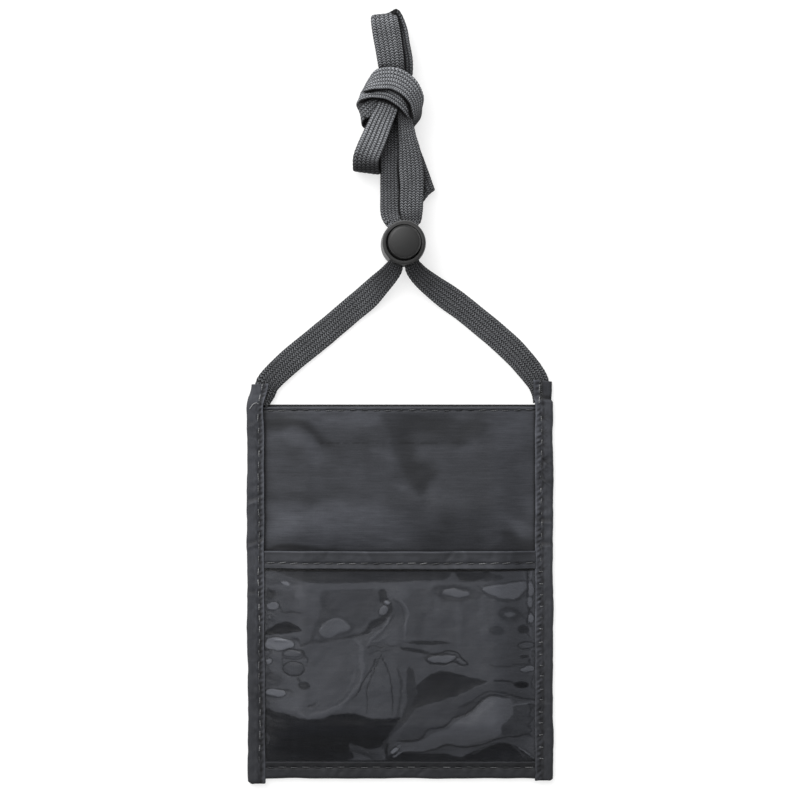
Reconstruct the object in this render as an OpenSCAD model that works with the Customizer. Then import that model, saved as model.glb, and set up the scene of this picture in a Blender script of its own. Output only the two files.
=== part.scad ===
// Neck wallet for an id badge: a flat fabric pouch with two pockets, hung on a flat braided
// lanyard that runs through a sprung cord lock and is tied off in a knot with a top loop.
// Millimetres. The pouch lies on its back on z = 0, its middle is the origin, +Y runs towards
// the lanyard and +Z towards the viewer.

/* [Pouch] */
// Width over both side bindings
pouch_w = 122.6; // [100:0.2:150]
// Height over the side bindings with their top tabs
pouch_h = 160; // [130:1:200]
// How far the side bindings stand above the front panel
tab_h = 10.4; // [8:0.2:16]
// How far the back panel shows above the front panel
back_peek = 0.8; // [0.4:0.1:3]
// How far the bottom band stays inside the ends of the side bindings
bottom_inset = 0.7; // [0.3:0.1:3]
// Thickness of the woven fabric
fabric_t = 0.4; // [0.3:0.05:0.5]
// Clear height of the main pocket behind the upper panel
main_gap = 4.6; // [4.4:0.1:6]
// Clear height that is left of it behind the window
low_gap = 1.4; // [1:0.1:2.4]
// Width of the fold-over hem along the top of the front panel
hem_w = 4.4; // [3:0.2:8]

/* [Window] */
// Height of the window pocket's mouth above the middle of the pouch
mouth_y = 12; // [0:1:20]
// Thickness of the clear film
film_t = 0.3; // [0.2:0.05:0.4]
// Clear height of the window pocket
window_gap = 5.0; // [4.8:0.1:6]
// Height of the fabric band along the mouth
band_w = 7; // [5:0.2:10]
// Depth of the creases in the film
crinkle = 0.3; // [0:0.05:0.4]

/* [Bindings] */
// Width of the fabric tape folded round each side
binding_w = 7; // [6:0.2:10]
// Height of the fabric band folded round the bottom edge
bottom_w = 6.9; // [5:0.2:10]

/* [Lanyard] */
// Width of the flat braid
strap_w = 10; // [9:0.2:10.2]
// Thickness of the flat braid
strap_t = 1.5; // [1.2:0.1:1.5]

/* [Cord lock] */
// Outer diameter of the round lock body at its rim
lock_d = 17; // [16.6:0.2:19]
// Height of the lock body
lock_h = 12.6; // [12.4:0.1:15]
// Diameter of the push button where it shows
button_d = 13; // [11:0.2:13]
// How far the button's crown stands above the lock body
button_rise = 2.7; // [2.4:0.1:4]
// How far the button travels
button_travel = 2; // [1.5:0.1:2.1]
// Width of the slot that the two straps share
slot_w = 11.6; // [11.4:0.1:11.9]

/* [Stitching] */
// Distance from one stitch to the next
stitch_pitch = 4.7; // [4:0.1:7]
// Length of a stitch on the surface
stitch_l = 3.2; // [2:0.1:3.6]
// Thickness of the sewing thread
thread_d = 0.5; // [0.3:0.05:0.6]

/* [Hidden] */
$fn = 48;

fabric_grey = "#3d4043";
band_grey = "#404346";
strap_grey = "#55575a";
film_grey = "#9aa0a6";
film_alpha = 0.35;
wire_grey = "#b8b8b8";
lock_black = "#2b2c2d";
thread_grey = "#6a6c6e";

// Layers that are sewn flat onto each other lie this far apart
seam_gap = 0.05;
// Pieces that meet edge to edge in one plane lie this far apart
edge_gap = 0.1;
// Run of the cutting shapes past what they cut
overrun = 1;

// Outline of the pouch
y_bottom = -pouch_h / 2;
y_top = pouch_h / 2;
front_top = y_top - tab_h;
back_top = front_top + back_peek;
binding_in = pouch_w / 2 - binding_w;
band_x = binding_in - edge_gap;
bottom_y = y_bottom + bottom_inset;
bottom_top = bottom_y + bottom_w;

// Heights of the layers where they are sewn together
back_z = fabric_t + seam_gap;
back_top_z = back_z + fabric_t;
front_z = back_top_z + seam_gap;
film_z = front_z + 2 * fabric_t + 2 * seam_gap;
// The width of the braid in the routes, where it lies open. Where it is bunched it is thicker
drawn_w = 10;
// The strap's end in the tab is this wide, and so thick
tail_w = 8.8;
tail_t = strap_t * sqrt(drawn_w / tail_w);
binding_t = max(film_z + film_t + seam_gap, fabric_t + tail_t + 3 * seam_gap) + fabric_t;
// The panels end where the inside of the folded tape begins to round
panel_in = pouch_w / 2 - binding_t / 2 - edge_gap;
panel_bottom = bottom_y + binding_t / 2 + edge_gap;

// The puff of the pockets: flat in the middle, falling smoothly to the seams
side_run = 13;
bottom_run = 14;
ramp_run = 18;
function ease(t) = let (u = max(0, min(1, t))) u * u * (3 - 2 * u);
function across(x) = ease((binding_in - edge_gap - abs(x)) / side_run);
function up_from_bottom(y) = ease((y - bottom_top) / bottom_run);
function front_rise(y) = low_gap * up_from_bottom(y)
  + (main_gap - low_gap) * ease((y - mouth_y) / ramp_run);
function front_under(x, y) = front_z + across(x) * front_rise(y);
film_rise = low_gap + window_gap - (film_z - front_z - fabric_t);

// Creases of the film: a few slanting waves, which die out at the seams and at the mouth
crease_one_share = 0.31;
crease_two_share = 0.17;
crease_turn = 40;
function wave(x, y, length, turn) = sin(360 * (x * cos(turn) + y * sin(turn)) / length);
film_h = mouth_y - bottom_top;
function creases(x, y) = crinkle * up_from_bottom(y) * across(x)
  * ease((mouth_y - band_w - y) / bottom_run)
  * (wave(x, y, crease_one_share * film_h, crease_turn)
   + wave(x, y, crease_two_share * pouch_w, -crease_turn)) / 2;
function film_under(x, y) = film_z + film_rise * across(x) * up_from_bottom(y)
  - crinkle * across(x) * up_from_bottom(y) + creases(x, y);

// Even steps from one value to another
function steps(a, b, count) = [for (i = [0:count]) a + (b - a) * i / count];
// Columns across a sheet, finer where its sides fall
function columns(half, fine, coarse) =
  let (flat = binding_in - side_run)
  concat([-half], steps(-band_x, -flat, fine), [for (s = [1:coarse - 1]) -flat + 2 * flat * s / coarse],
    steps(flat, band_x, fine), [half]);

// One closed sheet over a grid, whose underside is under(x, y) and whose thickness is thick(y)
module sheet(xs, ys, under, thick) {
  nx = len(xs);
  ny = len(ys);
  low = [for (y = ys) for (x = xs) [x, y, under(x, y)]];
  high = [for (y = ys) for (x = xs) [x, y, under(x, y) + thick(y)]];
  function at(i, j, up) = up * nx * ny + j * nx + i;
  tops = [for (j = [0:ny - 2]) for (i = [0:nx - 2]) each [
    [at(i, j, 1), at(i, j + 1, 1), at(i + 1, j + 1, 1)],
    [at(i, j, 1), at(i + 1, j + 1, 1), at(i + 1, j, 1)]]];
  unders = [for (j = [0:ny - 2]) for (i = [0:nx - 2]) each [
    [at(i, j, 0), at(i + 1, j + 1, 0), at(i, j + 1, 0)],
    [at(i, j, 0), at(i + 1, j, 0), at(i + 1, j + 1, 0)]]];
  ends = [for (i = [0:nx - 2]) each [
    [at(i, 0, 0), at(i, 0, 1), at(i + 1, 0, 1)], [at(i, 0, 0), at(i + 1, 0, 1), at(i + 1, 0, 0)],
    [at(i, ny - 1, 0), at(i + 1, ny - 1, 1), at(i, ny - 1, 1)],
    [at(i, ny - 1, 0), at(i + 1, ny - 1, 0), at(i + 1, ny - 1, 1)]]];
  sides = [for (j = [0:ny - 2]) each [
    [at(0, j, 0), at(0, j + 1, 1), at(0, j, 1)], [at(0, j, 0), at(0, j + 1, 0), at(0, j + 1, 1)],
    [at(nx - 1, j, 0), at(nx - 1, j, 1), at(nx - 1, j + 1, 1)],
    [at(nx - 1, j, 0), at(nx - 1, j + 1, 1), at(nx - 1, j + 1, 0)]]];
  polyhedron(concat(low, high), concat(tops, unders, ends, sides), convexity = 6);
}

// One closed bar whose outline [offset from the line, height] follows places [x, base height].
// ends are the convex pieces of the outline
module swept_band(places, outline, ends, y0) {
  n = len(outline);
  m = len(places);
  points = [for (p = places) for (o = outline) [p[0], y0 + o[0], p[1] + o[1]]];
  walls = [for (k = [0:m - 2]) for (i = [0:n - 1]) let (j = (i + 1) % n) each [
    [k * n + i, (k + 1) * n + i, (k + 1) * n + j], [k * n + i, (k + 1) * n + j, k * n + j]]];
  last = [for (e = ends) [for (i = [len(e) - 1:-1:0]) (m - 1) * n + e[i]]];
  polyhedron(points, concat(walls, ends, last), convexity = 6);
}

module back_panel() {
  color(fabric_grey)
    translate([-panel_in, panel_bottom, back_z])
      cube([2 * panel_in, back_top - panel_bottom, fabric_t]);
}

module front_panel() {
  // The hem is turned over to the front, so the cloth is double there
  hem_y = front_top - hem_w;
  fold_step = fabric_t / 4;
  rows = concat([panel_bottom], steps(bottom_top, bottom_top + bottom_run, 4),
    [(bottom_top + bottom_run + mouth_y) / 2], steps(mouth_y, mouth_y + ramp_run, 5),
    [(mouth_y + ramp_run + hem_y) / 2, hem_y, hem_y + fold_step, front_top]);
  color(fabric_grey)
    sheet(columns(panel_in, 5, 4), rows, function(x, y) front_under(x, y),
      function(y) y > hem_y ? 2 * fabric_t : fabric_t);
}

module window_film() {
  rows = concat([panel_bottom], steps(bottom_top, bottom_top + bottom_run, 4),
    [for (y = steps(bottom_top + bottom_run, mouth_y - band_w - bottom_run, 8)) if (y > bottom_top
      + bottom_run) y],
    [mouth_y - band_w - bottom_run / 2, mouth_y - band_w, mouth_y - fabric_t - edge_gap]);
  color(film_grey, film_alpha)
    sheet(columns(panel_in, 5, 14), rows, function(x, y) film_under(x, y), function(y) film_t);
}

// The band is folded over the film's top edge, with the film in its slot
module window_mouth_band() {
  slot_y = band_w - fabric_t;
  half_slot = film_t + seam_gap;
  fold_high = half_slot + fabric_t;
  fold_low = -seam_gap - fabric_t;
  outline = [[0, fold_low], [band_w - fabric_t, fold_low], [band_w, -seam_gap], [band_w, half_slot],
    [band_w - fabric_t, fold_high], [0, fold_high], [0, half_slot], [slot_y, half_slot],
    [slot_y, -seam_gap], [0, -seam_gap]];
  color(band_grey)
    swept_band([for (x = concat(steps(-band_x, side_run - binding_in, 5),
      steps(binding_in - side_run, band_x, 5))) [x, film_under(x, mouth_y)]], outline,
      [[0, 1, 8, 9], [1, 2, 8], [2, 3, 7, 8], [3, 4, 7], [4, 5, 6, 7]], mouth_y - band_w);
}

// Fold of tape round an edge, as a section that opens towards +X, from its back strip at height 0
module fold_section(width) {
  inner_r = (binding_t - 2 * fabric_t) / 2;
  outer_r = binding_t / 2;
  difference() {
    union() {
      translate([outer_r, 0]) square([width - outer_r, binding_t]);
      translate([outer_r, outer_r]) circle(outer_r);
    }
    translate([outer_r, fabric_t]) square([width, 2 * inner_r]);
    translate([outer_r, outer_r]) circle(inner_r);
  }
}

module bottom_band() {
  color(band_grey)
    translate([-band_x, bottom_y, 0])
      rotate([90, 0, 90])
        linear_extrude(2 * band_x)
          fold_section(bottom_w);
}

// side is -1 for the left binding and 1 for the right one
module side_binding(side) {
  color(band_grey)
    mirror([side > 0 ? 1 : 0, 0, 0])
      translate([-pouch_w / 2, y_top, 0])
        rotate([90, 0, 0])
          linear_extrude(pouch_h)
            fold_section(binding_w);
}

module left_side_binding() { side_binding(-1); }
module right_side_binding() { side_binding(1); }

// One stitch: a thread lying on the surface, along X before it is turned
module stitch() {
  translate([-stitch_l / 2, 0, seam_gap + thread_d / 2])
    rotate([0, 90, 0])
      cylinder(h = stitch_l, d = thread_d, $fn = 16);
}

// Stitches across the pouch at a height y, on a surface whose height is top(x)
module cross_row(y, half, top) {
  count = floor(2 * half / stitch_pitch);
  first = -(count - 1) * stitch_pitch / 2;
  reach = stitch_l / 2;
  color(thread_grey)
    for (i = [0:count - 1]) {
      x = first + i * stitch_pitch;
      left = top(x - reach);
      right = top(x + reach);
      mid = max(top(x), (left + right) / 2);
      translate([x, y, mid]) rotate([0, -atan2(right - left, stitch_l), 0]) stitch();
    }
}

// Distance of a seam from the folded edge that it holds
seam_in = 2.2;
hem_seam_y = front_top - seam_in;
module hem_seam() {
  cross_row(hem_seam_y, band_x, function(x) front_under(x, hem_seam_y) + 2 * fabric_t);
}

mouth_seam_y = mouth_y - band_w + seam_in;
module mouth_band_seam() {
  cross_row(mouth_seam_y, band_x,
    function(x) film_under(x, mouth_y) + film_t + seam_gap + fabric_t);
}

module bottom_seam() {
  cross_row(bottom_top - seam_in, band_x, function(x) binding_t);
}

// Stitches down a side binding, from below its tab to its lower end
module side_row(side) {
  run = front_top - y_bottom - stitch_pitch;
  count = floor(run / stitch_pitch);
  color(thread_grey)
    for (i = [0:count - 1])
      translate([side * (binding_in + seam_in), front_top - (i + 1) * stitch_pitch, binding_t])
        rotate([0, 0, 90]) stitch();
}
module left_binding_seam() { side_row(-1); }
module right_binding_seam() { side_row(1); }

// The rows across each tab that hold the end of the strap
module strap_tack(side) {
  rows = 2;
  color(thread_grey)
    for (r = [1:rows])
      translate([side * (pouch_w / 2 - binding_w / 2), front_top + r * tab_h / (rows + 1), binding_t])
        stitch();
}
module left_strap_tack() { strap_tack(-1); }
module right_strap_tack() { strap_tack(1); }

// The lock stands on the surface, centred under the two straps
lock_at = [1.6, 135, 0];
lock_floor = 1.2;
bore_gap = 0.15;
wall_t = 1.7;
plunger_r = lock_d / 2 - wall_t;
bore_r = plunger_r + bore_gap;
spring_h = 3.9;
spring_seat = 0.7;
plunger_web = 1.5;
plunger_z = lock_floor + spring_h - spring_seat;
plunger_slot_z = plunger_z + plunger_web;
slot_gap = 0.15;
bunched_w = 5.2;
strap_bunched_t = strap_t * sqrt(strap_w / bunched_w);
barrel_slot_top = plunger_slot_z + strap_bunched_t + 2 * slot_gap;
barrel_slot_z = plunger_slot_z - button_travel;
slot_h = barrel_slot_top - barrel_slot_z;
slot_corner = 0.6;
lock_bulge = 0.3;
rim_w = 1.0;

// A slot along Y with bevelled corners, from height z
module strap_slot(z) {
  reach = lock_d + 2 * overrun;
  half = slot_w / 2;
  inner = half - slot_corner;
  translate([0, reach / 2, z])
    rotate([90, 0, 0])
      linear_extrude(reach)
        polygon([[-inner, 0], [inner, 0], [half, slot_corner], [half, slot_h - slot_corner],
          [inner, slot_h], [-inner, slot_h], [-half, slot_h - slot_corner], [-half, slot_corner]]);
}

module lock_barrel() {
  rim_r = lock_d / 2;
  foot = lock_floor * 2 / 3;
  lip = rim_w / 3;
  color(lock_black)
    translate(lock_at)
      difference() {
        rotate_extrude($fn = 96)
          polygon([[0, 0], [rim_r - foot, 0], [rim_r - foot / 3, foot / 3], [rim_r, foot],
            [rim_r + lock_bulge * 2 / 3, lock_h / 4], [rim_r + lock_bulge, lock_h / 2],
            [rim_r + lock_bulge * 2 / 3, lock_h * 3 / 4], [rim_r, lock_h - rim_w],
            [rim_r, lock_h - 2 * lip], [rim_r - lip, lock_h - lip / 2], [rim_r - 2 * lip, lock_h],
            [bore_r + lip, lock_h], [bore_r, lock_h - lip], [0, lock_h - lip]]);
        translate([0, 0, lock_floor]) cylinder(h = lock_h, r = bore_r, $fn = 96);
        strap_slot(barrel_slot_z);
      }
}

module lock_button() {
  neck_z = lock_h - rim_w / 2;
  crown_r = button_d / 2;
  shoulder_z = neck_z + button_rise / 2;
  crown_z = lock_h + button_rise;
  dome = crown_z - shoulder_z;
  turns = 7;
  color(lock_black)
    translate(lock_at)
      difference() {
        rotate_extrude($fn = 96)
          polygon(concat([[0, plunger_z], [plunger_r, plunger_z], [plunger_r, neck_z],
            [crown_r, neck_z + (plunger_r - crown_r)]],
            [for (i = [0:turns]) [crown_r * cos(90 * i / turns), shoulder_z + dome * sin(90 * i / turns)]]));
        strap_slot(plunger_slot_z);
        translate([0, 0, plunger_z - overrun])
          cylinder(h = spring_seat + overrun, r = spring_r + 2 * wire_d, $fn = 48);
      }
}

spring_r = 4;
wire_d = 0.5;
spring_turns = 3;
// A helix of round wire that stands between the lock's floor and the button's seat
module lock_spring() {
  sides = 6;
  per_turn = 14;
  rings = spring_turns * per_turn;
  low = lock_floor + wire_d / 2 + seam_gap;
  high = lock_floor + spring_h - wire_d / 2 - seam_gap;
  points = [for (k = [0:rings]) let (a = 360 * k / per_turn, z = low + (high - low) * k / rings)
    for (i = [0:sides - 1]) let (b = 360 * i / sides, r = spring_r + wire_d / 2 * cos(b))
      [r * cos(a), r * sin(a), z + wire_d / 2 * sin(b)]];
  color(wire_grey) translate(lock_at) tube(points, sides);
}

// The lanyard's route. Each point is [x, y, z, across x, across y, width of the braid], where
// across is the way from the braid's middle to one edge. The points are chosen by hand.
left_leg_route = [
  [-56, 71, 1.28, 1, 0, 8.8], [-55.2, 75, 1.28, 0.95, -0.3, 9.2],
  [-52, 80, 1.28, 0.85, -0.5, 9.8], [-44, 87.8, 1.1, 0.7, -0.7, 10],
  [-34.2, 95.8, 0.85, 0.65, -0.75, 10], [-26, 102.6, 0.85, 0.65, -0.75, 10],
  [-19.2, 108.4, 1.1, 0.65, -0.75, 10], [-13.4, 113.2, 2, 0.7, -0.7, 10],
  [-8.8, 117.8, 3.6, 0.75, -0.65, 9], [-5, 122, 5.6, 0.85, -0.5, 7.2],
  [-2.6, 125.2, 6.7, 0.95, -0.3, 5.8], [-1.5, 128.4, 7.1, 1, 0, 5.2], [-1.3, 135, 7.1, 1, 0, 5.2]];
right_leg_route = [
  [56, 71, 1.28, 1, 0, 8.8], [55.6, 76, 1.28, 0.95, 0.3, 9.2],
  [53, 82, 1.26, 0.85, 0.5, 9.8], [46.8, 90.2, 1.1, 0.75, 0.65, 10],
  [39.2, 97.4, 0.85, 0.7, 0.7, 10], [32, 103.4, 0.85, 0.65, 0.75, 10],
  [24.8, 109.2, 0.9, 0.6, 0.8, 10], [18.4, 113.8, 1.7, 0.6, 0.8, 10],
  [12.6, 118, 3.4, 0.7, 0.7, 9], [8.4, 122, 5.5, 0.8, 0.6, 7.2],
  [5.8, 125.2, 6.7, 0.95, 0.3, 5.8], [4.7, 128.4, 7.1, 1, 0, 5.2], [4.5, 135, 7.1, 1, 0, 5.2]];
loop_route = [
  // up from the lock on the left, behind everything, into the knot and on to the top loop
  [-1.3, 135, 7.1, 1, 0, 5.2], [-1.3, 141.4, 7.1, 1, 0, 5.2], [-2.6, 145.6, 6.6, 1, 0, 6.2],
  [-3.6, 149.6, 5.2, 1, 0, 7.2], [-4.1, 155, 3.9, 1, 0, 7.8], [-4.1, 164, 3.2, 1, 0, 8],
  [-4.4, 174, 3.2, 1, 0, 8], [-4.9, 183, 3.6, 1, 0, 7.8], [-4.9, 194, 3.3, 1, 0, 7.8],
  [-4.6, 203, 4.2, 1, 0, 8.2], [-3.4, 211, 4.4, 1, 0, 9.8], [-2.7, 219, 4.4, 1, 0, 10],
  [-3, 223.8, 5.6, 1, 0, 10], [-4.6, 226.2, 7.8, 1, 0.1, 10], [-6.2, 225, 10, 1, 0.15, 10],
  [-6.7, 220, 11.1, 1, 0.1, 10], [-5.9, 213, 10.4, 1, 0.1, 10], [-5.2, 206.4, 8.2, 1, 0, 8.8],
  // down through the knot and out as the left bight, which folds under
  [-4.9, 200, 6.5, 1, 0, 7.6], [-5, 192, 5.6, 1, 0, 7.6], [-7.2, 184.4, 5.9, 0.95, -0.3, 8.8],
  [-10.2, 177, 6.4, 0.9, -0.4, 9.8], [-12.2, 171, 6.6, 0.95, -0.3, 10],
  [-13.4, 166.4, 5.8, 1, -0.2, 10], [-14, 164.4, 4.6, 1, -0.1, 10], [-14.2, 163.8, 3.2, 1, -0.1, 10],
  [-14.1, 164.6, 1.7, 1, -0.1, 10], [-13.8, 167.4, 0.9, 1, 0, 10], [-13.4, 173.4, 0.85, 1, 0, 10],
  [-13.4, 179.4, 1.1, 1, -0.1, 9.8], [-12.6, 184.6, 1.5, 0.9, -0.45, 9.2],
  // right behind the knot, round its right side and left across the front as the lower band
  [-8.6, 186.8, 1, 0.4, -0.9, 8], [-2, 186.6, 1, -0.1, -1, 8.4], [5.2, 186, 0.95, -0.15, -1, 8],
  [9.4, 185.6, 2.6, -0.2, -0.97, 7], [10.2, 186, 5.8, -0.25, -0.97, 6.6],
  [8.6, 186.7, 9.6, -0.4, -0.9, 6.6], [4.2, 190.2, 11.1, -0.65, -0.76, 8.6],
  [-1.8, 194.4, 10.8, -0.4, -0.9, 9.4], [-8, 195.3, 8.7, -0.1, -1, 8.4], [-13.2, 194.6, 7, 0.2, -0.97, 7.2],
  [-15.4, 194.6, 4.2, 0.2, -1, 7.2], [-12.8, 195, 1.8, 0.1, -1, 7.8],
  // right behind the knot again and left across the front as the upper band
  [-6.5, 196.4, 1, 0, -1, 8.4], [1.4, 196.3, 1, 0, -1, 8], [7.4, 195.8, 1.2, 0, -1, 8.4],
  [10.6, 195.6, 4.2, -0.1, -1, 7.8], [11, 196, 8, -0.2, -0.97, 7.6],
  [9, 197.4, 12.9, -0.4, -0.9, 7.8], [4, 199.4, 13.5, -0.5, -0.85, 9.2],
  [-1, 201.2, 13.1, -0.3, -0.95, 9.6], [-6.4, 202.8, 11.7, 0, -1, 8], [-10.6, 203.2, 9.7, 0.1, -1, 6],
  [-12.8, 203, 6.6, 0.1, -1, 5.6], [-11.8, 203.8, 3.4, 0, -1, 5.8], [-8, 205, 1.6, 0, -1, 5.8],
  // behind the top of the knot, down as the short right bight, and back up through the middle
  [-2.4, 205.2, 1.4, 0, -1, 5.8], [2.2, 204.4, 1.8, -0.3, -0.95, 6], [4.2, 202, 3.1, -0.85, -0.5, 6.2],
  [3.2, 196.4, 3.6, -1, 0, 7], [3, 187, 3.7, -1, 0, 7], [3.6, 179, 3.5, -1, -0.1, 7.4],
  [5.4, 170, 2.3, -0.95, -0.25, 8.6], [7.4, 162, 1.5, -0.95, -0.3, 9.8], [8.4, 157.8, 1.1, -0.95, -0.3, 10],
  [8.8, 156.2, 1.5, -0.95, -0.3, 10], [9, 155.4, 2.6, -0.95, -0.3, 10], [8.8, 156.2, 3.7, -0.95, -0.3, 10],
  [8.4, 158, 4.1, -0.95, -0.3, 10], [6.6, 165, 4.4, -0.95, -0.25, 9.6], [4.8, 174, 5.4, -1, -0.1, 8.4],
  [3.4, 182, 5.9, -1, 0, 7], [3.1, 193, 6, -1, 0, 7], [3.1, 199.8, 5.9, -1, 0, 7],
  [3.1, 201.5, 6.2, -1, 0, 7], [3.1, 202.2, 7.3, -1, 0, 7], [3.1, 201.5, 8.4, -1, 0, 7],
  // over itself and down in front on the right, back to the lock
  [3.1, 199.8, 8.7, -1, 0, 7], [2.9, 194, 8.5, -1, 0, 6.4], [2.2, 187, 8.4, -1, 0, 5.6],
  [2.8, 178, 8.1, -1, 0, 6.6], [3.8, 171.4, 7.5, -1, 0, 8.4], [4.4, 165, 7, -1, 0, 9.4],
  [4.7, 155.4, 6.4, -1, 0, 9], [4.8, 149.2, 6.4, -1, 0, 8.2], [4.7, 145.4, 6.8, -1, 0, 6.6],
  [4.5, 141.4, 7.1, -1, 0, 5.2], [4.5, 135, 7.1, -1, 0, 5.2]];

function unit(v) = v / norm(v);
// A smooth curve through a list of values, with count steps from each to the next
function smooth(list, count) = let (n = len(list)) concat([for (i = [0:n - 2]) let (
    a = list[max(0, i - 1)], b = list[i], c = list[i + 1], d = list[min(n - 1, i + 2)])
  for (s = [0:count - 1]) let (t = s / count)
    (2 * b + (c - a) * t + (2 * a - 5 * b + 4 * c - d) * t * t + (3 * b - a - 3 * c + d) * t * t * t) / 2],
  [list[n - 1]]);

// Corners of the braid's flat section, as shares of its half width and half thickness
section_shares = [[1, -0.5], [0.8, -1], [-0.8, -1], [-1, -0.5], [-1, 0.5], [-0.8, 1], [0.8, 1], [1, 0.5]];
// The braid's place at each point of a route: middle, ways along, across and up, and half sizes
function sections_of(route) = let (n = len(route)) [for (i = [0:n - 1]) let (
    here = route[i], ahead = route[min(n - 1, i + 1)], behind = route[max(0, i - 1)],
    step = [for (k = [0:2]) ahead[k] - behind[k]],
    // an end is square to Y, so that it meets the next piece of the lanyard face to face
    along = unit(i == 0 || i == n - 1 ? [0, step[1], 0] : step),
    hand = [here[3], here[4], 0], side = unit(hand - (hand * along) * along))
  [[here[0], here[1], here[2]], along, side, cross(along, side), norm(step) / 4,
    here[5] / 2 * strap_w / drawn_w, strap_t / 2 * sqrt(drawn_w / here[5])]];
function corners_of(f, shares) = [for (s = shares) f[0] + f[5] * s[0] * f[2] + f[6] * s[1] * f[3]];

// Distance of a point from the stretch of braid that belongs to one section
function off_braid(p, f) = let (d = p - f[0])
  norm([max(0, abs(d * f[1]) - f[4]), max(0, abs(d * f[2]) - f[5]), max(0, abs(d * f[3]) - f[6])]);
// Least gap of a braid to itself, measured from points round each section to the sections that
// lie further than one fold along it
fold_reach = 6;
around_shares = concat(section_shares, [for (x = [-0.6:0.2:0.6]) for (y = [-1, 1]) [x, y]]);
function own_gap(sections) = let (n = len(sections))
  min([for (i = [0:n - 1]) for (p = corners_of(sections[i], around_shares))
    for (j = [0:n - 1]) if (abs(i - j) > fold_reach && norm(p - sections[j][0]) < drawn_w)
      off_braid(p, sections[j])]);

// One closed tube over rings of the same number of corners
module tube(points, sides) {
  rings = len(points) / sides;
  walls = [for (k = [0:rings - 2]) for (i = [0:sides - 1]) let (j = (i + 1) % sides) each [
    [k * sides + i, k * sides + j, (k + 1) * sides + j],
    [k * sides + i, (k + 1) * sides + j, (k + 1) * sides + i]]];
  polyhedron(points, concat(walls, [[for (i = [sides - 1:-1:0]) i]],
    [[for (i = [0:sides - 1]) (rings - 1) * sides + i]]), convexity = 10);
}

module strap(sections) {
  color(strap_grey) tube([for (f = sections) each corners_of(f, section_shares)], len(section_shares));
}

module cord_left_leg() { strap(sections_of(smooth(left_leg_route, 2))); }
module cord_right_leg() { strap(sections_of(smooth(right_leg_route, 2))); }
module cord_knotted_loop() {
  sections = sections_of(smooth(loop_route, 2));
  echo("least gap of the knotted loop to itself", own_gap(sections));
  strap(sections);
}

back_panel();
front_panel();
window_film();
window_mouth_band();
bottom_band();
left_side_binding();
right_side_binding();
hem_seam();
mouth_band_seam();
bottom_seam();
left_binding_seam();
right_binding_seam();
left_strap_tack();
right_strap_tack();
cord_left_leg();
cord_right_leg();
cord_knotted_loop();
lock_barrel();
lock_button();
lock_spring();
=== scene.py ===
import math
import bpy
import numpy as np
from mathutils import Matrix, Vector
from mathutils.bvhtree import BVHTree


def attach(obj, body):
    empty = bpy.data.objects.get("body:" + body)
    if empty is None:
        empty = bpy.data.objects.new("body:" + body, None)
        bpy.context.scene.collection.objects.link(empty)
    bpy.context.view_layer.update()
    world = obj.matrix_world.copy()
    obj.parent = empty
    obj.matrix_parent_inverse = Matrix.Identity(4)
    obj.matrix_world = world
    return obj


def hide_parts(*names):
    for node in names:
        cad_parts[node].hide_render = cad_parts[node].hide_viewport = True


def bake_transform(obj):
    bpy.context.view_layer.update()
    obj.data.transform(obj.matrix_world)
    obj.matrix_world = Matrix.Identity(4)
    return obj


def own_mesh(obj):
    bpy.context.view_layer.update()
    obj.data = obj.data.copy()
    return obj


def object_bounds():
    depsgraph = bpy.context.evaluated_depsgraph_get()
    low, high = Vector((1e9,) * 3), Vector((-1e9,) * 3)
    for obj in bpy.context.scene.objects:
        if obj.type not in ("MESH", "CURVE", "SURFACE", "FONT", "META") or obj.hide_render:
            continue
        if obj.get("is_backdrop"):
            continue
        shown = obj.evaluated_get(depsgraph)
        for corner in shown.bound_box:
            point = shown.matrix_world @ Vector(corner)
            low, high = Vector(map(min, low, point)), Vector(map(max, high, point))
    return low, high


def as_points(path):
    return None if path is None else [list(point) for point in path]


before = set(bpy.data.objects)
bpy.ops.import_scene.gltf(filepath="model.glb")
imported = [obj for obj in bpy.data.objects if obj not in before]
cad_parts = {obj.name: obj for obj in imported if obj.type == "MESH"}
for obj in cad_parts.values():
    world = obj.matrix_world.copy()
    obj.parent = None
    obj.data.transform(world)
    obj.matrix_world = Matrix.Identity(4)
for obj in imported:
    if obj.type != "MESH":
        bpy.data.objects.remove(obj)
cad_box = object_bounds()

# All lengths below are millimetres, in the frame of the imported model
MM = 0.001
TURN = 2 * math.pi
POUCH_X, POUCH_TOP, POUCH_BOTTOM = 61.3, 80.0, -80.0
FRONT_TOP, BACK_TOP, CLOTH_LOW = 69.6, 70.4, -77.9   # edges of the two panels
BIND_T, CLOTH = 2.55, 0.4               # thickness of a folded tape and of the cloth
TAPE_W, LOW_W, BAND_W = 7.0, 6.9, 7.0   # widths of side tapes, bottom band and mouth band
BAND_X = 54.2                           # where the two bands end, under the side tapes
OPEN_X = 54.3                           # where the side tapes start over the panel and the film
MOUTH_Y = 12.0                          # top of the mouth band
LOW_FOLD, LOW_TOP = -79.3, -72.4        # fold and top of the bottom band
TAB_Y, TAB_STEP = 68.0, 71.6            # where the tabs start, and the right one's second fold
LOCK_X, LOCK_Y = 1.6, 135.0
# Stitches: their pitch, and the distance of each row from its edge or fold
PITCH = 4.7
HEM_D, SEAM_D, MOUTH_D, LOW_D = 1.45, 4.8, 2.2, 4.6


# ---------------------------------------------------------------- helpers

def ease(t):
    t = np.clip(t, 0, 1)
    return t * t * (3 - 2 * t)


def bell(d, width):
    return np.exp(-(d / width) ** 2)


def wobble(t, seed, length=10.0):
    """A smooth irregular wave of about -1 to 1 along one line, with bends about that long."""
    r = np.random.RandomState(seed)
    t = np.asarray(t, float)
    out = np.zeros_like(t)
    for k in range(5):
        f = 2 * math.pi / length * (0.45 + 0.42 * k + 0.2 * r.rand())
        out = out + np.sin(t * f + r.rand() * 6.28) * (0.62 ** k)
    return out / 1.9


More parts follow.
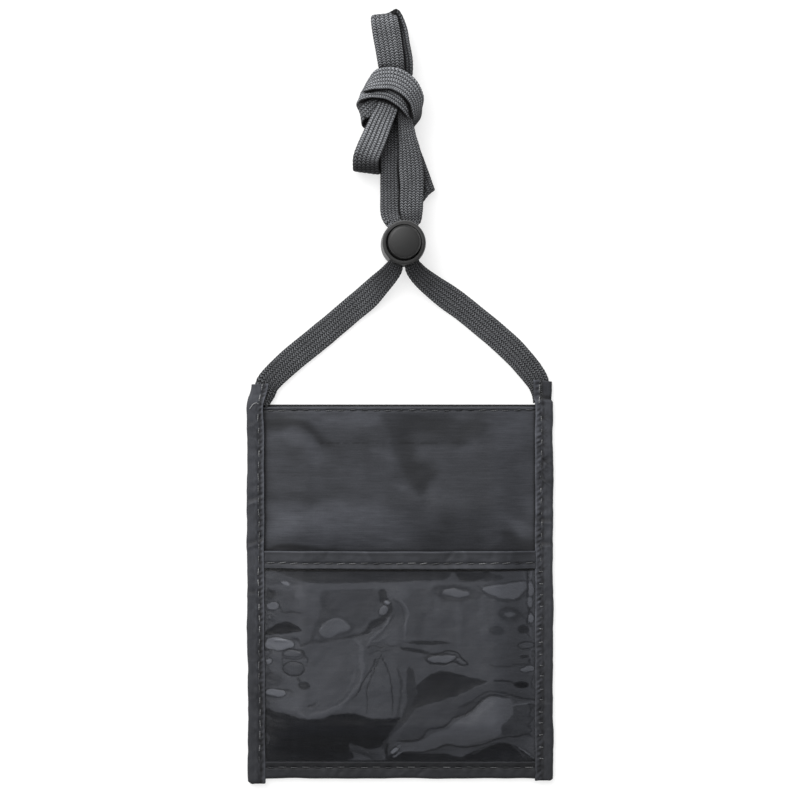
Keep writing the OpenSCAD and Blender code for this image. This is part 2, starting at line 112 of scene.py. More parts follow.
def noise2(x, y, length, seed):
    """Smooth noise of about -1 to 1 over a plane."""
    n = 96
    grid = np.random.RandomState(seed).rand(n, n) * 2 - 1
    u, v = np.asarray(x, float) / length + 500, np.asarray(y, float) / length + 500
    i, j = np.floor(u).astype(int), np.floor(v).astype(int)
    a, b = ease(u - i), ease(v - j)
    i, j, i2, j2 = i % n, j % n, (i + 1) % n, (j + 1) % n
    return (grid[i, j] * (1 - a) * (1 - b) + grid[i2, j] * a * (1 - b)
            + grid[i, j2] * (1 - a) * b + grid[i2, j2] * a * b)


def cloud(x, y, length, seed):
    """Noise with finer noise on it."""
    return (noise2(x, y, length, seed) + 0.5 * noise2(x, y, length / 2.1, seed + 1)
            + 0.25 * noise2(x, y, length / 4.3, seed + 2)) / 1.4


def beat_of(t, seed, length=15, drift=0.4):
    """1 at each stitch's middle and 0 between two, along a row of slightly uneven stitches."""
    return 0.5 + 0.5 * np.cos((t + drift * wobble(t, seed, length)) * 2 * math.pi / PITCH)


def unit(v):
    return v / np.maximum(np.linalg.norm(v, axis=-1, keepdims=True), 1e-9)


def curve(points, count=4, closed=False):
    """A smooth line through the points, with count steps from each to the next."""
    p = np.array(points, float)
    n = len(p)
    out = []
    for i in range(n if closed else n - 1):
        a, b, c, d = ((p[(i + k) % n] if closed else p[min(max(i + k, 0), n - 1)])
                      for k in (-1, 0, 1, 2))
        for s in range(count):
            t = s / count
            out.append((2 * b + (c - a) * t + (2 * a - 5 * b + 4 * c - d) * t * t
                        + (3 * b - a - 3 * c + d) * t ** 3) / 2)
    if not closed:
        out.append(p[-1])
    return np.array(out)


def link(name, data):
    ob = bpy.data.objects.new(name, data)
    bpy.context.scene.collection.objects.link(ob)
    return ob


def piece(name, points, faces, mat, uv=None, values=None, smooth=True):
    """A mesh object from points in millimetres. uv and values hold one entry for each point."""
    me = bpy.data.meshes.new(name)
    points = np.asarray(points, float)
    me.from_pydata((points * MM).tolist(), [], faces if isinstance(faces, list) else faces.tolist())
    me.update()
    if uv is not None:
        layer = me.uv_layers.new(name="lay")
        corner = np.empty(len(me.loops), int)
        me.loops.foreach_get("vertex_index", corner)
        layer.data.foreach_set("uv", np.asarray(uv, np.float32)[corner].ravel())
    for key, value in (values or {}).items():
        attr = me.attributes.new(key, "FLOAT", "POINT")
        attr.data.foreach_set("value", np.asarray(value, np.float32).ravel())
    me.polygons.foreach_set("use_smooth", [smooth] * len(me.polygons))
    me.materials.append(mat)
    return link(name, me)


def grid_faces(nx, ny, start=0):
    j, i = np.meshgrid(np.arange(ny - 1), np.arange(nx - 1), indexing="ij")
    a = (start + j * nx + i).ravel()
    return np.stack([a, a + 1, a + nx + 1, a + nx], 1)


def ring_faces(rings, around, start=0):
    """Quads between closed rings that have the same number of points."""
    k, i = np.meshgrid(np.arange(rings - 1), np.arange(around), indexing="ij")
    a = (start + k * around + i).ravel()
    b = (start + k * around + (i + 1) % around).ravel()
    return np.stack([a, b, b + around, a + around], 1)


def tube_faces(rings, around, start=0):
    """The faces of a closed tube: quads between its rings, and a cap at each end."""
    first = start + np.arange(around)
    last = first + (rings - 1) * around
    return ring_faces(rings, around, start).tolist() + [first[::-1].tolist(), last.tolist()]


def cloth_sheet(name, xs, ys, top, thick, shade):
    """A closed sheet of the pouch's cloth over a grid, from its top surface and thickness."""
    x, y = np.meshgrid(xs, ys)
    z = top(x, y)
    nx, ny = len(xs), len(ys)
    up = np.stack([x, y, z], 2).reshape(-1, 3)
    low = np.stack([x, y, z - thick(x, y)], 2).reshape(-1, 3)
    n = nx * ny
    edge = np.concatenate([np.arange(nx), nx - 1 + nx * np.arange(1, ny),
                           n - 1 - np.arange(1, nx), nx * np.arange(ny - 2, 0, -1)])
    nxt = np.roll(edge, -1)
    wall = np.stack([edge, edge + n, nxt + n, nxt], 1)
    faces = np.concatenate([grid_faces(nx, ny), grid_faces(nx, ny, n)[:, ::-1], wall])
    lit = shade(x, y).ravel()
    return piece(name, np.concatenate([up, low]), faces, panel_mat,
                 values={"lit": np.concatenate([lit, lit])})


# ---------------------------------------------------------------- materials

CLOTH_TINT, BRAID_TINT = (0.955, 1.0, 1.165), (0.97, 1.0, 1.06)
WHITE = (1, 1, 1, 1)


def material(name):
    m = bpy.data.materials.new(name)
    m.use_nodes = True
    m.node_tree.nodes.clear()
    return m, m.node_tree


def is_socket(v):
    return isinstance(v, bpy.types.NodeSocket)


def node(nt, kind, ins=None, **props):
    """A node with these properties; each input is linked to a socket or set to a value."""
    n = nt.nodes.new(kind)
    for k, v in props.items():
        setattr(n, k, v)
    for k, v in (ins or {}).items():
        if is_socket(v):
            nt.links.new(v, n.inputs[k])
        else:
            n.inputs[k].default_value = v
    return n


def calc(op, a, b=0.0, c=0.0, clamp=False):
    nt = next(v.id_data for v in (a, b, c) if is_socket(v))
    n = node(nt, "ShaderNodeMath", {0: a, 1: b, 2: c}, operation=op, use_clamp=clamp)
    return n.outputs[0]


def mul(a, b, clamp=False):
    return calc("MULTIPLY", a, b, clamp=clamp)


def madd(a, b, c, clamp=False):
    return calc("MULTIPLY_ADD", a, b, c, clamp)


def sway(fac, amount, middle, clamp=False):
    """The middle value, moved by how far a factor is from a half."""
    return madd(calc("SUBTRACT", fac, 0.5), amount, middle, clamp)


def sine(a):
    return calc("SINE", a)


def power(a, b):
    return calc("POWER", a, b)


def mix_color(fac, a, b):
    return node(fac.id_data, "ShaderNodeMix", {0: fac, 6: a, 7: b},
                data_type="RGBA", blend_type="MIX").outputs[2]


def vector(op, a, b):
    return node(a.id_data, "ShaderNodeVectorMath", {0: a, 3 if op == "SCALE" else 1: b},
                operation=op).outputs[0]


def parts_of(vec):
    return node(vec.id_data, "ShaderNodeSeparateXYZ", {0: vec}).outputs


def mm_coords(nt):
    """The place on the object in millimetres, and its x and y."""
    tc = node(nt, "ShaderNodeTexCoord")
    vec = vector("SCALE", tc.outputs["Object"], 1000.0)
    at = parts_of(vec)
    return vec, at[0], at[1]


def stretched(vec, scale):
    return vector("MULTIPLY", vec, scale)


def noise(vec, scale, detail=2.0, rough=0.5):
    return node(vec.id_data, "ShaderNodeTexNoise", {"Vector": vec, "Scale": scale, "Detail": detail,
                                                    "Roughness": rough}).outputs["Fac"]


def attribute(nt, name):
    return node(nt, "ShaderNodeAttribute", attribute_name=name).outputs["Fac"]


def in_stops(base, nt):
    """The colour, lighter or darker by the attribute `lit`, in stops."""
    lit = attribute(nt, "lit")
    return vector("SCALE", base, power(2.0, lit))


def bump(height, strength, distance):
    return node(height.id_data, "ShaderNodeBump", {"Height": height, "Strength": strength,
                                                   "Distance": distance}).outputs[0]


def rgb(grey, tint=CLOTH_TINT):
    return (grey * tint[0], grey * tint[1], grey * tint[2], 1.0)


def surface(m, **ins):
    """Ends a material in a Principled surface; Base_Color stands for the input Base Color."""
    nt = m.node_tree
    bs = node(nt, "ShaderNodeBsdfPrincipled", {k.replace("_", " "): v for k, v in ins.items()})
    node(nt, "ShaderNodeOutputMaterial", {0: bs.outputs[0]})
    return m


def fabric(name, tone, light, streaks=1.0, across=False):
    """Fine plain-woven nylon: threads both ways, weft streaks, soft mottling. The
    attribute `lit` is the folds' shade in stops."""
    m, nt = material(name)
    vec, x, y = mm_coords(nt)
    long, short = 0.16, 3.2
    if across:
        x, y = y, x
        along = (short, long, long)
    else:
        along = (long, short, long)
    warp_pitch, weft_pitch = 0.46, 0.52
    warp = sine(mul(x, TURN / warp_pitch))
    weft = sine(mul(y, TURN / weft_pitch))
    over = mul(warp, weft)
    streak = noise(stretched(vec, along), 1.0, 4.0, 0.65)
    mottle = noise(vec, 0.09, 3.0)
    fleck = noise(vec, 1.7, 2.0)
    lift = sway(streak, 0.9 * streaks, 0.42)
    lift = sway(mottle, 0.7, lift)
    lift = madd(over, 0.1, lift)
    lift = sway(fleck, 0.25, lift, clamp=True)
    base = in_stops(mix_color(lift, rgb(tone), rgb(light)), nt)
    high = madd(over, 0.35, mul(weft, 0.45))
    high = madd(streak, 1.2 * streaks, high)
    normal = bump(high, 0.35, 0.00006)
    return surface(m, Base_Color=base, Roughness=madd(streak, 0.16, 0.38), Normal=normal,
                   Specular_IOR_Level=0.2, Sheen_Weight=0.02, Sheen_Roughness=0.5)


def braid(name):
    """Flat braid: lengthwise ribs, each a column of slanted strokes that lean the other way from
    the next column's. The first coordinate counts columns, the second is millimetres."""
    stroke_pitch, stroke_lean = 1.02, 0.8
    m, nt = material(name)
    uv = node(nt, "ShaderNodeUVMap", uv_map="lay").outputs[0]
    at = parts_of(uv)
    u, v = at[0], at[1]
    f = calc("FRACT", u)
    odd = calc("MODULO", calc("FLOOR", u), 2.0)
    lean = madd(odd, -2.0, 1.0)
    wob = noise(stretched(uv, (0.7, 0.35, 1.0)), 1.0, 2.0)
    phase = madd(v, 1 / stroke_pitch, wob)
    phase = madd(mul(calc("SUBTRACT", f, 0.5), lean), stroke_lean, phase)
    stroke = calc("FRACT", phase)
    bead = power(sine(mul(stroke, math.pi)), 1.1)
    pair = calc("FRACT", mul(u, 0.5))
    # where the braid is drawn tight its strokes close up and the lengthwise grooves show instead
    plain = attribute(nt, "plain")
    col = power(sine(mul(pair, math.pi)), madd(plain, 0.35, 0.22))
    share = madd(plain, -0.4, 1.0)
    high = mul(calc("ADD", mul(bead, share), calc("SUBTRACT", 1.0, share)), col)
    yarn = sine(mul(stroke, TURN * 3))
    ribbed = madd(yarn, 0.05, high)
    vec = mm_coords(nt)[0]
    mottle = noise(vec, 0.16, 3.0)
    fuzz = noise(vec, 3.4, 3.0)
    # painted shade in the grooves between the ribs, darker where the lace is bunched
    groove_shade_fac = attribute(nt, "rib_groove_shade")
    light = mix_color(mottle, rgb(0.21, BRAID_TINT), rgb(0.365, BRAID_TINT))
    fac = sway(fuzz, 0.35, high, clamp=True)
    base = mix_color(power(fac, 2.0), rgb(0.004), light)
    base = mix_color(mul(groove_shade_fac, 0.8, clamp=True), base, rgb(0.012))
    base = in_stops(base, nt)
    normal = bump(ribbed, 0.9, 0.0004)
    return surface(m, Base_Color=base, Normal=normal, Roughness=0.72, Specular_IOR_Level=0.2,
                   Sheen_Weight=0.03, Sheen_Roughness=0.45)


def thread(name):
    """Twisted thread; the attribute `shade` is its tone, from dark to light."""
    m, nt = material(name)
    uv = parts_of(node(nt, "ShaderNodeUVMap", uv_map="lay").outputs[0])
    twist = sine(mul(calc("ADD", uv[0], uv[1]), TURN))
    lit = mix_color(attribute(nt, "shade"), rgb(0.015), rgb(0.42, (1, 1.01, 1.03)))
    base = mix_color(madd(twist, 0.3, 0.35, clamp=True), lit, rgb(0.02))
    return surface(m, Base_Color=base, Normal=bump(twist, 0.6, 0.00006), Roughness=0.5,
                   Specular_IOR_Level=0.4)


def film(name):
    """Clear flexible film: it dims what lies under it, a tint that also paints the shade beneath
    it;
    a point attribute mixes in a pale diffuse layer as painted reflections; and it mirrors the
    lights.
    """
    m, nt = material(name)
    painted_reflection = attribute(nt, "painted_reflection")
    vec = mm_coords(nt)[0]
    fine = noise(vec, 0.35, 4.0, 0.6)
    grain = noise(stretched(vec, (0.3, 2.4, 0.3)), 1.0, 3.0)
    fac = mul(painted_reflection, madd(fine, 0.35, 0.82))
    fac = mul(fac, madd(grain, 0.22, 0.89), clamp=True)
    # the pale diffuse layer that carries the painted reflections
    painted_reflection_bsdf = node(nt, "ShaderNodeBsdfPrincipled", {"Base Color": (0.69, 0.72, 0.82, 1),
                                                 "Roughness": 0.35, "Specular IOR Level": 0.3})
    clear = node(nt, "ShaderNodeBsdfTransparent", {"Color": (0.42, 0.435, 0.475, 1)})
    body = node(nt, "ShaderNodeMixShader", {0: fac, 1: clear.outputs[0], 2: painted_reflection_bsdf.outputs[0]})
    gloss = node(nt, "ShaderNodeBsdfGlossy", {"Color": WHITE, "Roughness": 0.2})
    fres = node(nt, "ShaderNodeFresnel", {"IOR": 1.3})
    whole = node(nt, "ShaderNodeMixShader", {0: fres.outputs[0], 1: body.outputs[0],
                                             2: gloss.outputs[0]})
    node(nt, "ShaderNodeOutputMaterial", {0: whole.outputs[0]})
    return m


def plastic(name, tone):
    """Matt moulded plastic; a point attribute mixes in a much lighter grey as a painted highlight.
    """
    m, nt = material(name)
    vec = mm_coords(nt)[0]
    grain = noise(vec, 4.5, 3.0, 0.6)
    cloudy = noise(vec, 0.25, 3.0)
    painted_highlight = attribute(nt, "painted_highlight")
    tint = (1, 1.01, 1.01)
    base = mix_color(cloudy, rgb(tone * 0.85, tint), rgb(tone * 1.15, tint))
    # painted highlight: the attribute mixes in a much lighter grey
    base = mix_color(mul(painted_highlight, 0.6, clamp=True), base, rgb(tone * 20, (1, 1, 1)))
    normal = bump(grain, 0.25, 0.00008)
    return surface(m, Base_Color=base, Roughness=madd(grain, 0.2, 0.32), Normal=normal,
                   Specular_IOR_Level=0.45)


def steel(name):
    """Bright drawn wire."""
    m, nt = material(name)
    drawn = noise(stretched(mm_coords(nt)[0], (1.0, 1.0, 8.0)), 2.0, 3.0)
    return surface(m, Base_Color=mix_color(drawn, (0.42, 0.43, 0.45, 1), (0.62, 0.63, 0.65, 1)),
                   Roughness=madd(drawn, 0.2, 0.22), Metallic=1.0)


panel_mat = fabric("panel_cloth", 0.022, 0.060)
tape_mat = fabric("binding_tape", 0.024, 0.066, 0.6, across=True)
band_mat = fabric("band_tape", 0.019, 0.054, 0.6)
braid_mat = braid("flat_braid")
thread_mat = thread("sewing_thread")
film_mat = film("clear_film")
barrel_mat = plastic("lock_barrel_plastic", 0.016)
button_mat = plastic("lock_button_plastic", 0.0125)
steel_mat = steel("spring_wire")


# ---------------------------------------------------------------- camera

REACH, FIELD = 1.1, 0.32   # height over the pouch and the width that it sees, metres
SENSOR = 36.0
cam = link("camera", bpy.data.cameras.new("camera"))
cam.data.sensor_width = SENSOR
cam.data.lens = SENSOR * REACH / FIELD
cam.location = (0.0, 0.0722, REACH + 0.002)
bpy.context.scene.camera = cam


# ---------------------------------------------------------------- lanyard

# Points of the lanyard: x, y, z, the direction across it as x, y, z, and its width
LEFT_LEG = [
    (-56.4, 71, 1.28, 1, 0, 0, 7.6), (-54.2, 75, 1.28, 0.95, -0.3, 0, 8.4),
    (-52.2, 79.8, 1.28, 0.85, -0.5, 0, 9.4), (-44, 87.8, 1.1, 0.7, -0.7, 0, 10),
    (-34.2, 95.8, 0.85, 0.65, -0.75, 0, 10), (-26, 102.6, 0.85, 0.65, -0.75, 0, 10),
    (-19.2, 108.4, 1.1, 0.65, -0.75, 0, 10), (-13.4, 113.2, 2, 0.7, -0.7, 0, 10),
    (-8.8, 117.8, 3.6, 0.75, -0.65, 0, 9), (-4.8, 121.8, 5.6, 0.85, -0.5, 0, 8),
    (-2.4, 125, 6.7, 0.95, -0.3, 0, 7), (-1.5, 128.4, 7.1, 1, 0, 0, 5.2),
    (-1.3, 135, 7.1, 1, 0, 0, 5.2),
]
RIGHT_LEG = [
    (56.6, 71, 1.28, 1, 0, 0, 6.4), (56.2, 76, 1.28, 0.95, 0.3, 0, 7.6),
    (54, 81.4, 1.26, 0.85, 0.5, 0, 9.2), (46.8, 90.2, 1.1, 0.75, 0.65, 0, 10),
    (39.2, 97.4, 0.85, 0.7, 0.7, 0, 10), (32, 103.4, 0.85, 0.65, 0.75, 0, 10),
    (24.8, 109.2, 0.9, 0.6, 0.8, 0, 10), (18.4, 113.8, 1.7, 0.6, 0.8, 0, 10),
    (12.6, 118, 3.4, 0.7, 0.7, 0, 9), (8, 121.8, 5.5, 0.8, 0.6, 0, 8),
    (5.5, 125, 6.7, 0.95, 0.3, 0, 7), (4.7, 128.4, 7.1, 1, 0, 0, 5.2),
    (4.5, 135, 7.1, 1, 0, 0, 5.2),
]
LOOP = [
    # up from the lock on the left, into the knot and on to the top loop
    (-1.3, 135, 7.1, 1, 0, 0, 5.2), (-1.3, 141.4, 7.1, 1, 0, 0, 5.2),
    (-2.7, 143.8, 6.7, 1, 0, 0, 7.4), (-3.4, 147, 5.6, 1, 0, 0, 8.6),
    (-3.6, 154.2, 4.7, 1, 0, 0, 8.4), (-3.7, 163.4, 4.4, 1, 0, 0, 8.2),
    (-3.6, 172.6, 4.4, 1, 0, 0, 8), (-3.6, 182.1, 4.5, 1, 0, 0, 7.6),
    (-3.2, 191.7, 4.6, 1, 0, 0, 7.4), (0.4, 200.4, 4.9, 1, 0.05, 0, 8.2),
    (0.6, 206.7, 5.3, 1, 0.08, 0, 9), (-0.6, 213.9, 5.6, 1, 0.1, 0.05, 9),
    (-1.7, 219.6, 5.9, 1, 0.15, 0.05, 9), (-3.6, 223.9, 6.8, 1, 0.17, 0.02, 9.4),
    (-5.7, 225.2, 8.6, 1, 0.15, 0, 10), (-6.3, 224, 10.6, 1, 0.15, 0, 10.5),
    (-5.8, 220.2, 11.6, 1, 0.12, 0, 10.7), (-4.6, 213.1, 11.6, 1, 0.08, 0, 10.7),
    (-3.7, 206.8, 11.2, 1, 0.03, 0, 10.4), (-3.4, 202.2, 10.2, 1, 0, 0, 9.4),
    # down through the knot and out as the left bight, which folds under
    (-3.6, 197.5, 9.4, 1, -0.1, 0, 8.2), (-4, 192.3, 9.6, 0.95, -0.2, 0, 8),
    (-5.3, 187.5, 10.2, 0.92, -0.35, 0.05, 8.4), (-7.5, 182.8, 9.8, 0.92, -0.4, 0.05, 9.4),
    (-10.3, 176.1, 9, 0.92, -0.38, 0, 10), (-12.5, 171, 8.7, 0.95, -0.3, 0, 10.2),
    (-13.5, 168.1, 8, 0.98, -0.16, 0, 10.3), (-13.6, 165.3, 7.2, 1, -0.12, 0, 10.4),
    (-13.4, 163.6, 5.6, 1, -0.13, 0, 10.7), (-13.2, 163.5, 3.6, 1, -0.13, 0, 10.8),
    (-13, 165.1, 2, 1, -0.08, 0, 10.6), (-12.3, 169.1, 1.3, 1, -0.05, 0, 10.2),
    (-10.8, 174.5, 1.2, 0.97, -0.15, 0, 9.8), (-9.6, 178.8, 2, 0.9, -0.4, 0, 8.8),
    # round the left side and across the front beneath the bight, as the innermost turn
    (-11.3, 182.5, 2.8, 0.55, -0.8, 0, 8), (-14.2, 184.9, 4.4, 0.3, -0.95, 0, 8),
    (-15.3, 186.8, 6.8, 0.28, -0.95, 0.1, 8.2), (-13.7, 188.7, 8.7, 0.5, -0.85, 0.1, 8.2),
    (-10.3, 191.5, 9, 0.55, -0.82, 0.05, 7.6), (-6.4, 193.1, 8.2, 0.05, -1, 0, 7.2),
    (-2.4, 192.2, 7.4, -0.3, -0.95, 0, 7), (1.7, 189.6, 7, -0.6, -0.75, 0.1, 6.8),
    (4.5, 185.8, 5.4, -0.75, -0.45, 0.45, 6.4), (4.6, 182.6, 3.8, -0.6, -0.6, 0.6, 6.6),
    (1.6, 182.3, 2.8, 0.3, -1, 0, 7), (-4.8, 185.1, 2.7, 0.4, -0.9, 0, 7.4),
    (-11.2, 189.1, 2.9, 0.45, -0.9, -0.1, 7),
    # the lower band
    (-14.3, 192.1, 4.4, 0, -0.95, 0.3, 5.6), (-15.3, 192.7, 7.2, -0.3, -0.9, 0.3, 5.6),
    (-13.5, 194.3, 10, -0.25, -0.95, 0.35, 6.6), (-9.5, 195.8, 11.6, -0.05, -1, 0.15, 7.8),
    (-4.2, 195, 12.3, -0.42, -0.9, 0.1, 7.8), (0.9, 191.9, 11.8, -0.68, -0.75, 0.12, 7.6),
    (4, 188.1, 9.8, -0.8, -0.45, 0.4, 6.6), (5.2, 184.7, 7, -0.65, -0.25, 0.72, 6),
    (3.8, 182, 3.6, -0.7, -0.5, 0.6, 5.8), (1.6, 181.7, 1.2, 0.5, -0.9, 0, 6.4),
    (-5.6, 186.5, 1, 0.5, -0.85, 0, 7), (-12, 192.1, 1.2, 0.5, -0.85, 0, 7),
    # the upper band
    (-13.2, 195.4, 3.8, 0, -0.9, 0.4, 6), (-13.3, 196.7, 8.2, -0.4, -0.85, 0.3, 6),
    (-11.9, 197.7, 11.6, -0.25, -0.92, 0.4, 7), (-8.1, 199.3, 14, 0, -1, 0.25, 8.6),
    (-2.2, 199.3, 14.9, -0.35, -0.93, 0.2, 9.2), (3.1, 196.3, 14.2, -0.65, -0.75, 0.3, 8.8),
    (6.3, 191.9, 12, -0.78, -0.35, 0.52, 7.6), (6.7, 188, 9.4, -0.55, -0.12, 0.83, 7),
    (6.3, 184.7, 6.4, -0.4, -0.05, 0.92, 6.4),
    # behind the knot and down as the short right bight, and back up through the middle
    (2.6, 181.1, 3, -0.95, 0, 0.25, 6), (2.6, 175.6, 1.6, -1, 0, 0, 7),
    (3.8, 169.3, 1.1, -1, -0.15, 0, 8.4), (6.4, 160.9, 1, -0.9, -0.4, 0, 10),
    (9.2, 154.7, 1.3, -0.65, -0.78, 0, 10), (9.9, 153.2, 2.4, -0.6, -0.8, 0, 10),
    (9.2, 154.6, 3.6, -0.65, -0.78, 0, 10), (7.4, 159.5, 3.7, -0.85, -0.45, 0, 10),
    (5, 167.1, 4, -0.97, -0.2, 0, 9.4), (2.8, 175, 4.6, -1, -0.05, 0, 8),
    (1.6, 182.9, 5.2, -1, 0, 0, 6.8), (1, 188.4, 5.5, -1, 0, 0, 6.4),
    (0.8, 192.8, 5.7, -1, 0, 0, 6.4), (0.8, 194.3, 6.2, -1, 0, 0, 6.4),
    (0.8, 194.8, 7.2, -1, 0, 0, 6.4), (1, 194.1, 8.2, -1, 0, 0, 6.4),
    # over itself and down in front on the right, back to the lock
    (1.2, 192, 8.8, -1, -0.05, 0, 6.2), (1.7, 188, 9.2, -1, -0.12, 0, 5.8),
    (2.1, 183.3, 8.9, -1, -0.15, 0, 6), (2.9, 177, 8.4, -1, -0.12, 0, 7),
    (3.8, 171.5, 8, -1, -0.08, 0, 8.4), (4.4, 165.2, 7.4, -1, -0.03, 0, 9.6),
    (4.8, 158.1, 6.8, -1, 0, 0, 9.6), (4.6, 152.5, 6.5, -1, 0, 0, 9.2),
    (4.5, 147.7, 6.7, -1, 0, 0, 9), (4.7, 144, 6.9, -1, 0, 0, 7.6),
    (4.5, 141.4, 7.1, -1, 0, 0, 5.2), (4.5, 135, 7.1, -1, 0, 0, 5.2),
]

COLUMNS = 12       # of strokes across a face of the lace; two to a rib
ACROSS = 43        # points across a face
LACE_W, LACE_HALF = 10.0, 0.75   # full width, and half thickness; where narrower it is bunched


def contact(points, faces, outward):
    """Share of the outlook that near surfaces of the same piece cover, for each point."""
    tree = BVHTree.FromPolygons(points.tolist(), faces)
    turns = [(math.cos(a), math.sin(a)) for a in np.arange(6) * math.pi / 3]
    out = np.zeros(len(points))
    for i, (p, n) in enumerate(zip(points, outward)):
        n = Vector(n)
        a = n.orthogonal().normalized()
        b = n.cross(a)
        start = Vector(p) + 0.12 * n
        # low rays find edges that lie on the face, steep ones those that hang over it
        for rise, lean, reach in ((0.5, 0.87, 1.05), (0.91, 0.41, 2.5)):
            for c, s in turns:
                far = tree.ray_cast(start, rise * n + lean * (c * a + s * b), reach)[3]
                if far is not None:
                    out[i] += (1 - far / reach) / 6
    return out


def strap(name, route, count, seed, shades, tight=(), shaded=False):
    """The flat braid along a route: a flattened section with ribs on both faces."""
    r = curve(route, count)
    mid, hand, wide = r[:, :3], r[:, 3:6], r[:, 6]
    along = np.gradient(mid, axis=0)
    along[0], along[-1] = (0, along[0][1], 0), (0, along[-1][1], 0)
    along = unit(along)
    side = unit(hand - (hand * along).sum(1, keepdims=True) * along)
    up = np.cross(along, side)
    run = np.concatenate([[0], np.cumsum(np.linalg.norm(np.diff(mid, axis=0), axis=1))])
    half = wide * (1 + 0.012 * wobble(run, seed, 14)) / 2
    thick = LACE_HALF * np.sqrt(LACE_W / wide)
    # the section: places across the upper face and back across the lower one, closer at the edges
    t = np.linspace(-1, 1, ACROSS)
    s = np.sign(t) * (1 - (1 - np.abs(t)) ** 1.35)
    s = np.concatenate([s[::-1], s[1:-1]])
    face = np.concatenate([np.ones(ACROSS), -np.ones(ACROSS - 2)])
    body = (1 - np.abs(s) ** 7) ** 0.5
    ribs = np.abs(np.sin(math.pi * COLUMNS / 4 * (s + 1))) ** 0.7
    rise = 0.88 * body + (0.26 * ribs - 0.16) * (1 - s ** 8)
    rise[np.abs(s) > 0.9999] = 0
    ripple = (0.05 * wobble(run, seed + 3, 9)[:, None] * s[None, :]
              + 0.04 * wobble(run, seed + 5, 5)[:, None])
    height = (rise * face)[None, :] * thick[:, None] + ripple * thick[:, None]
    # small bumps along the edges
    bumps = 0.13 * np.abs(np.sin(run * math.pi / 1.3 + 0.6 * wobble(run, seed + 7, 6)))[:, None]
    reach = half[:, None] * s[None, :] + bumps * s[None, :] ** 9
    points = (mid[:, None] + reach[:, :, None] * side[:, None]
              + height[:, :, None] * up[:, None])
    size = rings, around = height.shape
    faces = [f[::-1] for f in tube_faces(rings, around)]
    u = np.clip(np.broadcast_to((s + 1) / 2 * COLUMNS, size), 0.02, COLUMNS - 0.02)
    v = np.broadcast_to(run[:, None], size) + np.where(face < 0, 0.55, 0)[None, :]
    # painted shade in the grooves between the ribs, more where the lace is bunched narrower
    bunch = ((LACE_W - wide) / LACE_W)[:, None]
    rib_groove_shade = np.broadcast_to(bunch * 0.5 * (1 - ribs)[None, :], size)
    place = np.broadcast_to((np.arange(rings) / count)[:, None], size)
    q = np.broadcast_to(s[None, :], size)
    lit = -0.5 * ease((np.abs(q) - 0.9) / 0.1)
    for at, over, long, broad, stops in shades:
        lit = lit + stops * np.exp(-((place - at) / long) ** 2 - ((q - over) / broad) ** 2)
    plain = 0 * place
    for at, long, much in tight:
        plain = plain + much * np.exp(-((place - at) / long) ** 2)
    if shaded:
        # every second ring is enough for the shade where passes of the lace meet
        normals = (face[None, :, None] * up[:, None] + 0 * points)[::2]
        near = contact(points[::2].reshape(-1, 3), ring_faces(len(normals), around).tolist(),
                       normals.reshape(-1, 3))
        near = np.repeat(near.reshape(-1, around), 2, 0)[:rings]
        lit = lit - 4 * np.minimum(near * 5, 1)
    ob = piece(name, points.reshape(-1, 3), faces, braid_mat,
               uv=np.stack([u, v], 2).reshape(-1, 2),
               values={"rib_groove_shade": rib_groove_shade, "lit": lit, "plain": np.minimum(plain, 1)})
    return ob, mid * MM, run[-1] * MM


